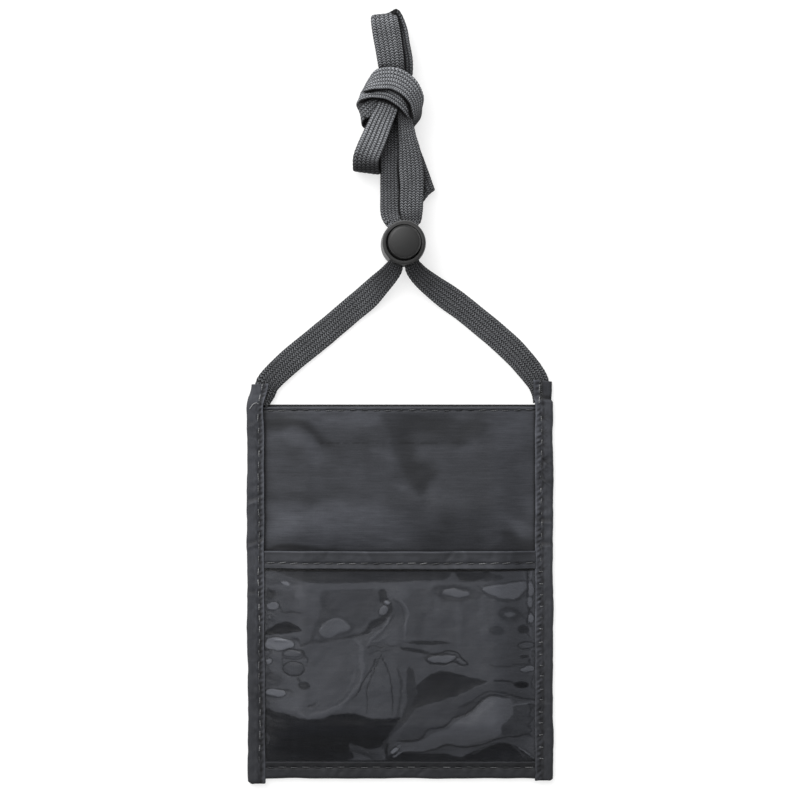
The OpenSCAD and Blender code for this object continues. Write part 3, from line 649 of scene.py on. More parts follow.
# Shade along each piece: row of the route, place across (-1 to 1), reach along and across (one of 9
# takes in the whole face), stops
LEG_SHADES = [(4, 0, 9, 9, -0.6), (10, 0, 1.8, 9, -1.2), (0.5, 0, 1.6, 9, -1.1)]
LOOP_SHADES = [
    # left strand: dim, darker under the bight and beside the right strand
    (6, 0, 5, 9, -0.5), (7.4, 0, 1.2, 9, -0.9), (4.6, 0.95, 3, 0.16, -2.6), (5, -1, 1.6, 0.2, -0.6),
    (1.4, 1, 1.6, 0.12, -2.2),
    # rear strand of the top loop, with its dark inner part
    (11.4, 0.36, 1.2, 0.14, -3), (12.6, 0.5, 0.8, 0.2, -2.6), (10, 0.3, 1, 0.1, -0.8),
    (11, 0.8, 3, 0.3, 0.45), (9, 0, 0.8, 9, -0.8),
    # front strand of the top loop
    (13.9, 0, 0.8, 9, -0.8), (15.4, 0, 0.6, 9, 0.35), (17.2, 0, 1.6, 9, 0.1),
    (17, 0.86, 2.6, 0.08, -0.8), (16.8, 1, 2.2, 0.08, 1.4), (18.8, 0, 0.6, 9, -0.6),
    # the bight: dark where it leaves the turns, bright down its front, dark underneath
    (20.7, 0, 0.6, 9, -2.6), (23.6, 0, 1.5, 9, 0.55), (24, 1, 2, 0.14, -0.8),
    (27.3, 0, 1.2, 9, -2.4), (31, 0, 2.4, 9, -2),
    # innermost turn, in the shade of the next one
    (38.6, -0.62, 3, 0.3, -3.2), (41.4, 0, 1.4, 9, -2.2), (37, 0, 2, 9, -0.2),
    (41, -0.8, 2, 0.4, -2.4), (35, 0, 0.7, 9, -1.2), (43.5, 0, 1.6, 9, -1.8),
    # lower band: black under the upper band's edge
    (49.6, -0.42, 1.8, 0.12, -2.6), (52, -0.62, 1.6, 0.16, -2.6), (53.4, -0.2, 0.7, 0.5, -1),
    (50, 0.3, 3, 0.6, 1.1), (50, 1, 3.4, 0.1, 0.5), (54, 0, 1, 9, -0.9), (57, 0, 1.8, 9, -1.8),
    # upper band: the brightest
    (63, 0, 3.2, 9, 0.6), (62.5, 1, 3.4, 0.1, 0.4), (66.8, 0, 0.7, 9, -0.5), (60, 0, 0.6, 9, -0.4),
    # rear bight on the right and the run up through the middle
    (73, 0, 3.6, 9, -0.7), (69, 0, 1.6, 9, -1.6), (78.5, 0, 2, 9, -1.8), (71, 0.6, 2.5, 0.5, -0.8),
    # right strand in front: dark at the knot, lighter edge over the left strand
    (85.2, 0, 0.9, 9, -2.2), (86.6, 0.9, 1.2, 0.2, -1.2), (89, 0.97, 4.5, 0.1, 0.3),
    (89.5, -1, 2, 0.2, -0.5), (92.8, 0, 0.6, 9, -0.6), (89, 0, 4, 9, -0.12),
    (92.5, 0, 1.6, 9, -0.2), (93.6, 1, 1.6, 0.1, -2.2),
]
# Where the loop's braid is drawn tight: row of the route, reach along, strength
LOOP_TIGHT = [(14.2, 0.7, 0.9), (23.2, 2.4, 0.95), (39, 4, 0.5), (51, 3.4, 0.6), (63, 4.6, 0.45),
              (10.5, 2.5, 0.7)]

left_leg, left_path, left_long = strap("strap_left_leg", LEFT_LEG, 24, 11, LEG_SHADES)
right_leg, right_path, right_long = strap("strap_right_leg", RIGHT_LEG, 24, 23, LEG_SHADES)
knot, knot_path, knot_long = strap("strap_knotted_loop", LOOP, 16, 37, LOOP_SHADES, LOOP_TIGHT,
                                   shaded=True)
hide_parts("cord_left_leg")
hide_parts("cord_right_leg")
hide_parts("cord_knotted_loop")
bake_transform(left_leg)
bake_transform(right_leg)
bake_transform(knot)


# ---------------------------------------------------------------- cord lock

AXIS_R = 0.001                    # a profile's least radius, at the axis
BORE_R, LOCK_FLOOR = 6.95, 1.2    # of the barrel
CROWN_R, CROWN_TOP = 6.56, 15.3   # of the button
LOCK_LONG = 1.025                 # length along Y over width
SLOT_HALF, SLOT_H, SLOT_CORNER = 5.8, 4.38, 1.0
BARREL_SLOT_Z, BUTTON_SLOT_Z = 3.9, 5.9


def revolve(profile, turns=128):
    """Points and faces of a closed body of revolution, from its profile [radius, height]."""
    p = np.array(profile, float)
    a = np.arange(turns) * 2 * math.pi / turns
    pts = np.stack([p[:, None, 0] * np.cos(a), p[:, None, 0] * np.sin(a),
                    np.broadcast_to(p[:, None, 1], (len(p), turns))], 2).reshape(-1, 3)
    return pts, tube_faces(len(p), turns)


def arc(cx, cz, r, a0, a1, n=6):
    return [[cx + r * math.cos(math.radians(a)), cz + r * math.sin(math.radians(a))]
            for a in np.linspace(a0, a1, n)]


def slot_cutter(name, slot_z, mat):
    """A bar along Y with the slot's rounded section."""
    ring = []
    w, low, high = SLOT_HALF - SLOT_CORNER, SLOT_CORNER, SLOT_H - SLOT_CORNER
    for cx, cz, a in ((w, high, 0), (-w, high, 90), (-w, low, 180), (w, low, 270)):
        ring += arc(cx, cz, SLOT_CORNER, a, a + 90, 7)
    points = [[LOCK_X + x, LOCK_Y + y, slot_z + z] for y in (-12, 12) for x, z in ring]
    return piece(name, points, tube_faces(2, len(ring)), mat, smooth=False)


def slotted(name, profile, slot_z, mat, is_button):
    """A revolved body with the strap's slot cut through it along Y, and its edges smoothed."""
    pts, faces = revolve(profile)
    pts[:, 0] += LOCK_X
    pts[:, 1] += LOCK_Y
    pts[:, 1] = LOCK_Y + (pts[:, 1] - LOCK_Y) * LOCK_LONG
    # the lock lies a little askew: its back shows at the lower left, and the button sits off
    # centre in it
    back = ease((9 - pts[:, 2]) / 7)
    pts[:, 0] -= 0.8 * back
    pts[:, 1] -= 0.35 + 0.6 * back
    lean = ease((pts[:, 2] - 11.9) / 0.6) * is_button
    pts[:, 0] += 0.18 * lean
    pts[:, 1] += 0.19 * lean
    body = piece(name, pts, faces, mat, smooth=False)
    cutter = slot_cutter(name + "_cut", slot_z, mat)
    mod = body.modifiers.new("slot", "BOOLEAN")
    mod.object = cutter
    mod.operation = "DIFFERENCE"
    mod.solver = "EXACT"
    bev = body.modifiers.new("soft_edges", "BEVEL")
    bev.width = 0.22 * MM
    bev.segments = 2
    bev.limit_method = "ANGLE"
    bev.angle_limit = math.radians(50)
    dep = bpy.context.evaluated_depsgraph_get()
    done = bpy.data.meshes.new_from_object(body.evaluated_get(dep))
    body.modifiers.clear()
    body.data = done
    bpy.data.objects.remove(cutter)
    done.polygons.foreach_set("use_smooth", [True] * len(done.polygons))
    done.set_sharp_from_angle(angle=math.radians(35))
    co = np.array([v.co for v in done.vertices]) / MM
    dx, dy, z = co[:, 0] - LOCK_X, co[:, 1] - LOCK_Y, co[:, 2]
    rad = np.hypot(dx, dy)
    # painted highlight along the top right of the barrel's rim, and a very faint one on the
    # button's edge
    rim = (0.02 * bell(rad - 6.35, 0.3) if is_button
           else 1.7 * bell(rad - 8.55, 0.22) * bell(z - 12.0, 0.5))
    painted_light = rim * ease((dy + 0.4 * dx - 3) / 4)
    # painted light on the upper side of the groove round the button, so that it looks dark at the
    # left and below only
    painted_light = painted_light + (0.32 * ease((dy + 0.5 * dx + 1) / 4) * bell(rad - 6.85, 0.4)
                   * ease((z - 11.6) / 0.5) * ease((14.2 - z) / 0.8))
    # painted highlight on the moulded side at the lower left
    painted_light = painted_light + 0.3 * ease((10 - z) / 3) * ease((-1 - dx) / 5) * (not is_button)
    attr = done.attributes.new("painted_highlight", "FLOAT", "POINT")
    attr.data.foreach_set("value", painted_light.astype(np.float32))
    return body


# the bore's wall has steps in it, so that it lies askew like the outside
barrel_profile = ([[AXIS_R, 0.0], [7.3, 0.0]] + arc(7.3, 1.0, 1.0, -90, -10, 7)[1:]
                  + [[8.5, 2.2], [8.7, 4.2], [8.79, 6.3], [8.74, 8.4], [8.6, 10.4]]
                  + arc(7.85, 11.75, 0.72, 5, 90, 7) + [[7.26, 12.48]]
                  + arc(7.26, 12.2, 0.26, 90, 180, 5)[1:] + [[6.98, 11.6]]
                  + [[BORE_R, z] for z in (11.2, 9.2, 7.6, 6, 4.4, 3, 1.3)]
                  + [[6.8, LOCK_FLOOR], [AXIS_R, LOCK_FLOOR]])
barrel = slotted("lock_barrel_visual", barrel_profile, BARREL_SLOT_Z, barrel_mat, False)
# the skirt is slim enough to run down the askew bore as the button is pressed, and hollow below
# for the spring; over it come the wall, the rounded shoulder and the slightly dished top
button_profile = [[AXIS_R, 5.15], [5.7, 5.15], [5.7, 4.45], [6.25, 4.4], [6.45, 4.6], [6.45, 6.2],
                  [6.45, 8.0], [6.74, 11.6], [6.7, 11.75], [CROWN_R, 11.8], [CROWN_R, 12.9]]
button_profile += [[CROWN_R - 1.56 * (1 - math.cos(a)), 12.9 + 1.85 * math.sin(a)]
                   for a in np.linspace(0.15, 1.45, 9)]
button_profile += [[5.0 * (1 - k / 8) + 0.0001, CROWN_TOP - 0.52 * (1 - k / 8) ** 2.0]
                   for k in range(1, 8)] + [[AXIS_R, CROWN_TOP]]
button = slotted("lock_button_visual", button_profile, BUTTON_SLOT_Z, button_mat, True)
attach(barrel, "cord_lock")
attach(button, "push_button")
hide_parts("lock_barrel")
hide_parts("lock_button")
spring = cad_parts["lock_spring"]
# from 3.9 mm long at rest to 1.8 mm with the button pressed
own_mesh(spring)
spring.data.materials.clear()
spring.data.materials.append(steel_mat)

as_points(left_path)
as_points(right_path)
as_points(knot_path)


# ---------------------------------------------------------------- pouch: shade and folds

def pairs(line):
    """Points x, y from a flat run of numbers."""
    return np.array(line, float).reshape(-1, 2)


def oval(x, y, cx, cy, rx, ry, turn):
    """How far out each place is in an oval: 0 at its centre and 1 at its edge."""
    a = math.radians(turn)
    u = (x - cx) * math.cos(a) + (y - cy) * math.sin(a)
    v = -(x - cx) * math.sin(a) + (y - cy) * math.cos(a)
    return np.sqrt((u / rx) ** 2 + (v / ry) ** 2)


def to_line(x, y, line, reach=4.0, closed=False):
    """Distance of each place to a smooth line, up to reach. Outside a closed line it counts as less
    than zero."""
    p = curve(pairs(line), closed=closed)
    low, high = p.min(0) - reach, p.max(0) + reach
    close = (x > low[0]) & (x < high[0]) & (y > low[1]) & (y < high[1])
    x, y = x[close], y[close]
    far = np.full(x.shape, 1e9)
    odd = np.zeros(x.shape, bool)
    ends = np.roll(p, -1, 0) if closed else p[1:]
    for (ax, ay), (bx, by) in zip(p, ends):
        dx, dy = bx - ax, by - ay
        t = np.clip(((x - ax) * dx + (y - ay) * dy) / (dx * dx + dy * dy), 0, 1)
        far = np.minimum(far, (x - ax - t * dx) ** 2 + (y - ay - t * dy) ** 2)
        if closed and dy != 0:
            odd ^= ((ay > y) != (by > y)) & (x < dx * (y - ay) / dy + ax)
    if closed:
        out = np.full(close.shape, -reach)
        out[close] = np.maximum(np.where(odd, 1, -1) * np.sqrt(far), -reach)
    else:
        out = np.full(close.shape, reach)
        out[close] = np.minimum(np.sqrt(far), reach)
    return out


def inside(x, y, outline):
    """How far inside an outline each place is, less than zero outside."""
    return to_line(x, y, outline, closed=True)


# Painted soft light and shade of the top panel's folds: centre, half sizes, turn, strength in
# stops, and how square the edge is
PANEL_TONES = [
    # hollow that curves in from the upper left, the rise under it and the one over it
    (-47.5, 63.6, 7.6, 1.7, 2, -0.75, 1.2), (-37.6, 61.4, 4.6, 1.5, -32, -0.7, 1.2),
    (-32, 56.4, 3.6, 1.8, -40, -0.7, 1), (-27, 54.4, 7, 2.4, -10, -0.35, 1),
    (-45.5, 58.2, 6.4, 2.2, -8, 0.5, 1.3), (-36.4, 54.6, 3.4, 3.2, -50, 0.3, 1),
    (-52, 56.4, 2.2, 2.4, 0, 0.3, 1), (-24, 64, 17, 3.4, -3, 0.42, 1.2),
    (-36, 63.9, 8, 0.7, -16, 0.25, 1), (-13.4, 64.8, 6.4, 3.4, 0, 0.3, 1),
    (-43.4, 50.6, 3, 3, 0, -0.28, 1), (-46.6, 43.4, 3, 2.4, 0, -0.24, 1),
    (-52.4, 47.6, 2.4, 4.4, 0, 0.25, 1), (-52.6, 51.6, 2, 1.2, 0, -0.2, 1),
    # dark wedge down from the hem, with its sharp left side
    (3, 62, 9.6, 4.2, 12, -0.55, 1.3), (13, 62.6, 8, 3.6, -6, -0.5, 1.2),
    (2.4, 55.6, 4.6, 3, -45, -0.42, 1.2), (6.6, 56.4, 12, 1.8, 2, -0.25, 1),
    (4.6, 50.4, 3.4, 4.6, 30, -0.5, 1.3), (8.6, 43.6, 5.8, 4.6, 0, -0.75, 1.4),
    (7.4, 37.8, 3, 3.6, 20, -0.6, 1.3), (11, 50.4, 5.6, 2.4, -12, 0.25, 1),
    (28.6, 61.8, 7.6, 3, 38, -0.5, 1.3), (23.6, 56.2, 5, 2.4, 40, -0.3, 1),
    (44, 62.4, 8, 5.4, 20, 0.35, 1.2), (48, 66.6, 6, 1.8, 0, 0.25, 1),
    # rises on the wedge's left
    (-6.6, 51.2, 6, 1.9, -14, 0.5, 1.3), (-3, 47, 3.6, 2, -50, 0.3, 1),
    (0.6, 37.6, 5.2, 1.7, -14, 0.55, 1.4), (-2.4, 60, 4.4, 5.4, 70, 0.2, 1),
    (-14, 44, 9, 6, 0, 0.12, 1), (-25, 45, 8, 7, 0, -0.12, 1), (27, 50.4, 6.4, 4.4, 30, 0.2, 1),
    (-16, 55, 8, 4, 0, -0.15, 1),
    # long hollow at the left, then the broad lit slope over the band
    (-42, 33.6, 14, 2.2, 0, -0.5, 1.2), (-52, 33.2, 3.4, 2, 0, -0.4, 1.2),
    (-22, 36.4, 9, 2, 6, -0.2, 1), (-31, 24.6, 23, 5.6, -3, 0.42, 1.2),
    (-46, 19.6, 8.4, 2.6, 9, 0.38, 1.2), (-10, 21, 14, 6, 0, 0.14, 1),
    (-40, 12.9, 16, 0.9, 0, -0.7, 1.2),
    # dark low middle, the lit fold at the lower right and the dark corner under it
    (16, 16.6, 15, 4.4, 0, -0.55, 1.3), (19.6, 24.4, 5, 4.4, 0, -0.25, 1),
    (38, 38, 9, 9, 0, -0.18, 1), (47, 21.6, 7.2, 2.5, -26, 0.5, 1.4),
    (46.6, 15.4, 8.2, 2.6, -24, -0.75, 1.3), (34, 20, 4, 4, 0, 0.12, 1), (30, 31, 9, 5, 0, -0.1, 1),
    (51.6, 30, 3, 6, 0, 0.15, 1),
]
# Painted light and shade of outlined folds: strength in stops, edge softness, then the outline's x,
# y
PANEL_FOLDS = [
    (0.5, 3.4, -56, 31, -40, 30, -24, 31, -10, 29.4, 0, 27, 5, 22, 2, 16, -6, 13.4, -20, 12.8,
     -36, 14.4, -50, 15.4, -56, 14),
    (0.3, 1.6, -54, 61, -48, 60.6, -42, 60.6, -37, 58.4, -33, 54.6, -31, 49, -33, 46, -36, 50,
     -40, 53.4, -46, 54.6, -54, 54),
    (0.25, 1.6, -40, 68, -36, 65, -27, 62.4, -16, 62, -8, 62, -7, 66, -9, 68),
    (-0.4, 1.1, -6.4, 66.4, 0.8, 66.8, 8.8, 66.2, 24.8, 64.2, 35.2, 63, 34.4, 60.2, 31.2, 57,
     26.4, 55, 16.8, 55, 8.8, 54.2, 7.2, 52.2, 5.6, 49, 7.2, 47.4, 11.2, 45.8, 14, 43.4, 12.8, 41,
     10.4, 37.8, 8.8, 35.4, 6.4, 34.6, 5.6, 37, 4, 40.2, 2.4, 44.2, 0, 49, -1.6, 52.2, -3.2, 56.2,
     -4.8, 60.2),
    (-0.35, 0.9, -53.6, 66.2, -47.2, 65.8, -40, 64.6, -36, 62.6, -31.2, 59.4, -28, 56.6,
     -27.2, 54.2, -31.2, 54.2, -34, 56.2, -36, 58.6, -39.2, 61, -43.2, 62.2, -46.4, 60.6,
     -50.4, 60.2, -53.6, 61.8),
    (-0.5, 0.9, 40.8, 19.4, 45.6, 19.4, 48.8, 17, 54, 13.8, 54, 11.8, 36.8, 11.8, 40.8, 16.2),
    (-0.7, 0.5, -53.6, 12.2, -50.4, 13.4, -43.2, 14.2, -35.2, 12.6, -23.2, 12, -53.6, 11.8),
]
# Dotted rows of an inner seam and its pricks: height, from and to across, strength in stops
DOTTED = ((55.0, -34, 34, 0.35), (55.0, -34, -12, 0.35), (55.0, 0, 17, 0.35), (41.4, -4, 5.6, 0.4),
          (32.8, -7.4, -0.6, 0.45), (31.9, -6.4, -1.4, 0.3))


def hem_beat(x):
    """The rhythm of the hem's stitches along it."""
    return beat_of(x, 3, 12, 0.3)


def panel_lit(x, y):
    """The front panel's shade in stops."""
    bx, by = x + 1.4 * noise2(x, y, 9, 201), y + 0.9 * noise2(x, y, 6, 203)
    lit = np.zeros_like(x)
    for cx, cy, rx, ry, turn, stops, square in PANEL_TONES:
        lit += stops * np.exp(-oval(bx, by, cx, cy, rx, ry, turn) ** (2 * square))
    lit = lit * 0.8
    for stops, soft, *outline in PANEL_FOLDS:
        lit = lit + stops * ease(inside(bx, by, outline) / (2.7 * soft) + 0.5)
    # painted light on the pillowed right side and painted shade on the left, added to their shape's
    # own
    lit = lit + 0.3 * ease((x - 33) / 7) - 0.12 * ease((-34 - x) / 5)
    # painted black shadow under the mouth band's lip, seen through the film
    lit = lit - 3 * ease((y - 3.4) / 0.5) * ease((7 - y) / 0.5)
    for y0, a, b, stops in DOTTED:
        dots = ease(0.9 + 1.2 * noise2(x, y * 0, 1.3, int(y0 * 10) + 7))
        row = bell(y - y0 - 0.25 * noise2(x, y * 0, 6, 211), 0.28)
        lit = lit - stops * row * ease((x - a) / 2) * ease((b - x) / 2) * dots
    # painted shade beside the tapes and along the mouth band, a painted highlight on the hem's
    # ridge, and painted shade under it
    lit = (lit - 1.5 * bell(54.0 - x, 0.55) - 0.9 * bell(x + 54.0, 0.5)
           - 0.2 * bell(54 - np.abs(x), 2.2))
    lit = lit - 0.8 * bell(y - MOUTH_Y, 0.5) - 0.25 * bell(y - MOUTH_Y, 1.8)
    d = FRONT_TOP - y
    lit = (lit + 0.7 * bell(d - 0.65, 0.35) - (0.55 + 0.5 * hem_beat(x)) * bell(d - HEM_D, 0.4)
           - 0.5 * bell(d, 0.25))
    return lit - 0.06 + 0.13 * noise2(x * 0.12, y, 0.8, 221) + 0.08 * noise2(x * 0.3, y, 2.4, 223)


def panel_top(x, y):
    """Top of the front panel's cloth: low puff, sagging folds, and a dip under the mouth band."""
    across = ease((54.6 - np.abs(x)) / 19)
    rise = 1.4 * ease((y - LOW_TOP) / 15) + 3.2 * ease((y - MOUTH_Y + 1) / 20)
    z = 1.3 + across * rise
    soft = ease((y - 12) / 6) * ease((FRONT_TOP + 0.5 - y) / 7) * ease((55 - np.abs(x)) / 9)
    folds = (
        # broad rise at the upper left, with the slanting hollow on its right
        0.55 * bell(x + 44, 9) * bell(y - 56, 9)
        - 0.55 * bell((x + 33) + 0.55 * (y - 55), 3.2) * bell(y - 56, 8)
        # the hollow that runs down from the middle of the hem, and its point
        - 0.75 * bell((x - 4) - 0.25 * (52 - y), 6.5) * bell(y - 53, 13)
        + 0.45 * bell((x + 4) + 0.5 * (y - 46), 4) * bell(y - 44, 9)
        - 0.35 * bell(x - 11, 3.5) * bell(y - 36, 5)
        + 0.3 * bell(x - 6, 3.2) * bell(y - 31.5, 2.4)
        # right side: soft diagonal folds down to the binding
        + 0.5 * bell((x - 31) - 0.35 * (60 - y), 5) * bell(y - 56, 9)
        - 0.4 * bell((x - 44) + 0.75 * (y - 24), 5) * bell(y - 22, 10)
        # long low waves over the band
        + 0.4 * bell(x + 30, 22) * bell(y - 21, 5)
        - 0.45 * bell(x + 44, 11) * bell(y - 27, 5)
        + 0.28 * bell(x - 22, 16) * bell(y - 26, 7))
    z = z + soft * (folds + 0.22 * cloud(x, y, 17, 5) + 0.05 * cloud(x, y, 5, 9))
    # the line of an inner seam that shows faintly through the cloth
    line = bell(y - 54.6, 0.55) * ease((x + 50) / 12) * ease((50 - x) / 14)
    return z - 0.05 * line * (0.6 + 0.4 * np.sin(x * 2 * math.pi / 3.1))


def hem_top(x, y):
    """The hem: a rounded edge with a ridge under it, and the stitch row pressed into the cloth."""
    z = panel_top(x, y)
    d = FRONT_TOP - y
    z = z - 0.55 * (1 - np.sqrt(np.clip(1 - ((0.5 - d) / 0.5).clip(0, 1) ** 2, 0, 1)))
    beat = hem_beat(x)
    z = z + (0.16 + 0.1 * beat) * bell(d - 0.75, 0.5) - (0.20 + 0.16 * beat) * bell(d - HEM_D, 0.5)
    return z + 0.05 * (1 - beat) * bell(d - 2.6, 0.7)


# The film's painted reflections, as tones: this one where nothing else lies, then the tables below
BASE_TONE = 0.5   # the film's, before what follows
# Its painted reflections in soft ovals: centre, half sizes, turn in degrees, tone, softness
OVALS = [
    (-27, -31.9, 26.4, 20.8, 0, 0.6, 0.9), (27.8, -20, 24, 20.8, 0, 0.55, 0.9),
    (-7.9, -38.3, 9.6, 16, 0, 0.56, 0.8), (-35.8, -5.7, 4.8, 7.2, 0, 0.68, 0.9),
    (-15.1, -2, 43.2, 1.4, 1, 0.7, 0.7), (-39.7, -5.7, 2.1, 1.9, 0, 0.76, 0.9),
    (-10.3, -43, 4.8, 9.6, 0, 0.6, 0.9), (0, -4.9, 4, 2.4, 0, 0.74, 0.8),
    (-51.7, -39.5, 4.8, 2.7, 0, 0.34, 0.8), (-42.9, -48.6, 5.6, 3.5, 10, 0.72, 0.9),
    (23.4, -16, 1.4, 8.8, 0, 0.66, 0.9), (15.1, -9.7, 1.3, 5.6, 0, 0.62, 0.9),
    (33.4, -17.6, 1.8, 9.6, 4, 0.62, 0.9), (7.9, -13.6, 2.4, 8.8, 0, 0.48, 0.9),
    (43.7, -29.5, 8.8, 7.2, 0, 0.5, 0.9), (-3.2, -21.6, 4, 4, 40, 0.66, 0.9),
    (-15.1, -31.1, 1.1, 7.2, 2, 0.76, 0.9), (-31, -44.6, 5.6, 8.8, -20, 0.66, 0.9),
    (38.5, -19.6, 3.2, 1.9, 0, 0.3, 0.4), (49.3, -19.6, 2.4, 1.8, 0, 0.16, 0.35),
    (50.5, -30.3, 2.6, 0.7, 0, 0.16, 0.35), (11.5, -24.3, 8.6, 0.8, -1, 0.15, 0.3),
    (6.2, -27.5, 6.1, 0.9, -12, 0.13, 0.3), (-38.2, -41.5, 2.4, 1.6, -10, 0.14, 0.4),
    (-51.7, -5.7, 2.1, 1.9, -20, 0.16, 0.6), (-42.9, -12.4, 4.8, 0.6, 0, 0.32, 0.5),
    (-52.1, -37.1, 1.8, 0.6, 0, 0.2, 0.5), (-33.4, -49.4, 1.6, 0.7, 25, 0.3, 0.6),
    (19.1, 1.5, 3.2, 1.1, 0, 0.5, 0.8), (-30.2, -66.9, 4.2, 0.8, -2, 0.3, 0.7),
    (48.5, -41.5, 3, 1.4, -3, 0, 0.4), (52.1, -52.6, 1.6, 1.8, 0, 0.55, 0.6),
    (52.1, -57.4, 1.4, 1.6, 0, 0.55, 0.6), (-53.3, -58.9, 1.6, 1, 0, 0.3, 0.8),
    (-53.3, -65.3, 1.1, 1.6, 0, 0.35, 0.8),
]
# Painted highlights as bright islands, each with a painted dark rim: tone, width and tone of the
# rim, then the outline
ISLANDS = [
    # top right
    (1.05, 0.45, 0.3, 33, -2.9, 36.6, -1.7, 42.9, -0.9, 49.4, -0.4, 50.7, -1.1, 50.2, -3.3,
     48.5, -5.4, 46.3, -6.8, 43.7, -7.1, 40.5, -6.5, 37.4, -5.7, 34.2, -4.3),
    (0.98, 1.2, 0.32, 17.1, -3.9, 20.7, -3.1, 24.6, -3.6, 27.7, -5, 24.6, -6.1, 20.7, -5.8,
     17.3, -4.9),
    (0.85, 1.5, 0.3, 41.5, -13.2, 43.7, -12.4, 45.9, -13.2, 43.7, -14.2),
    (1.25, 0.3, 0.2, 51.7, -0.9, 52.6, -0.5, 53.4, -3.3, 52.9, -6.3, 52, -6.5, 51.5, -3.3),
    (1.1, 0.3, 0.2, 51.3, -7.3, 52.5, -6.9, 52.9, -10.1, 51.8, -10.5),
    (1.3, 0.3, 0.15, 51.2, -14.3, 52.5, -13.2, 53.4, -14.6, 52.9, -16.7, 51.7, -16.2),
    (0.62, 0.3, 0.12, 47.5, -25.4, 50.1, -24.6, 52.9, -25.2, 52.8, -26.5, 50.1, -27.2, 47.7, -26.7),
    (1.05, 0.3, 0.14, 48.5, -35.1, 50.5, -34.1, 53.4, -34.3, 53.6, -35.9, 50.9, -36.4, 48.6, -35.9),
    # middle
    (0.98, 0.5, 0.14, 11.5, -30.6, 15.1, -29.5, 19.9, -29.5, 22.4, -30.2, 19.2, -31.9, 14.5, -32.1,
     11.8, -31.4),
    (0.6, 0.3, 0.12, 22.7, -31.1, 24.3, -30.5, 26.1, -32.2, 25.1, -32.7),
    (0.9, 0.9, 0.36, -32.3, -19.8, -31, -17.6, -28.6, -15.6, -25.3, -14.8, -22.1, -15.7,
     -19.7, -17.9, -21.1, -19.4, -24.6, -20.6, -28.5, -22.1, -31.3, -21.6),
    (0.95, 0.3, 0.16, -8.3, -12.4, -7.2, -10.1, -5.4, -9.7, -4.5, -11.4, -6.4, -13.2, -7.9, -13.2),
    (1.6, 0.2, 0.14, -6.2, -8.6, -5.2, -7.8, -3.8, -8.4, -4.9, -9.2),
    # left
    (1.05, 0.3, 0.12, -52.9, -9.5, -50.9, -8.6, -49, -9.3, -49.1, -10.8, -51, -11.3, -52.9, -10.8),
    (1.5, 0.1, 0.4, -47.4, -0.4, -45.9, -0.1, -44.2, -0.9, -44.5, -1.6, -46.3, -1.2),
    (1.3, 0.36, 0.14, -53.4, -23.5, -50.1, -22.7, -45.9, -23, -42.9, -24.3, -42.4, -25.9,
     -45.9, -27.2, -50.1, -27.6, -53.4, -26.8),
    (0.66, 0.3, 0.12, -46.1, -28.4, -42.9, -27.6, -39.7, -28.3, -40.5, -29.7, -43.7, -30,
     -45.9, -29.5),
    (0.48, 0.3, 0.06, -46.9, -35.1, -45.1, -32.7, -41.7, -32.4, -38.9, -33.5, -38.6, -35.4,
     -41.3, -37.2, -44.7, -36.7),
    (1.2, 0.34, 0.14, -53.6, -44.2, -50.9, -43.2, -47.1, -43.7, -45.6, -44.8, -47.7, -45.9,
     -52.5, -45.7),
    (1.2, 0.3, 0.12, -53.6, -31.8, -52.1, -31.3, -51.5, -32.4, -52.8, -33.2),
    # painted glints at the bottom
    (2.1, 0.35, 0.1, -3.8, -68.3, -2.4, -67, -0.8, -66.6, -0.5, -67.4, -2.1, -68.6, -3.3, -69.1),
    (1.1, 0.2, 0.2, -1.1, -66.3, 0, -65.3, 0.8, -65.9, 0, -66.6),
]
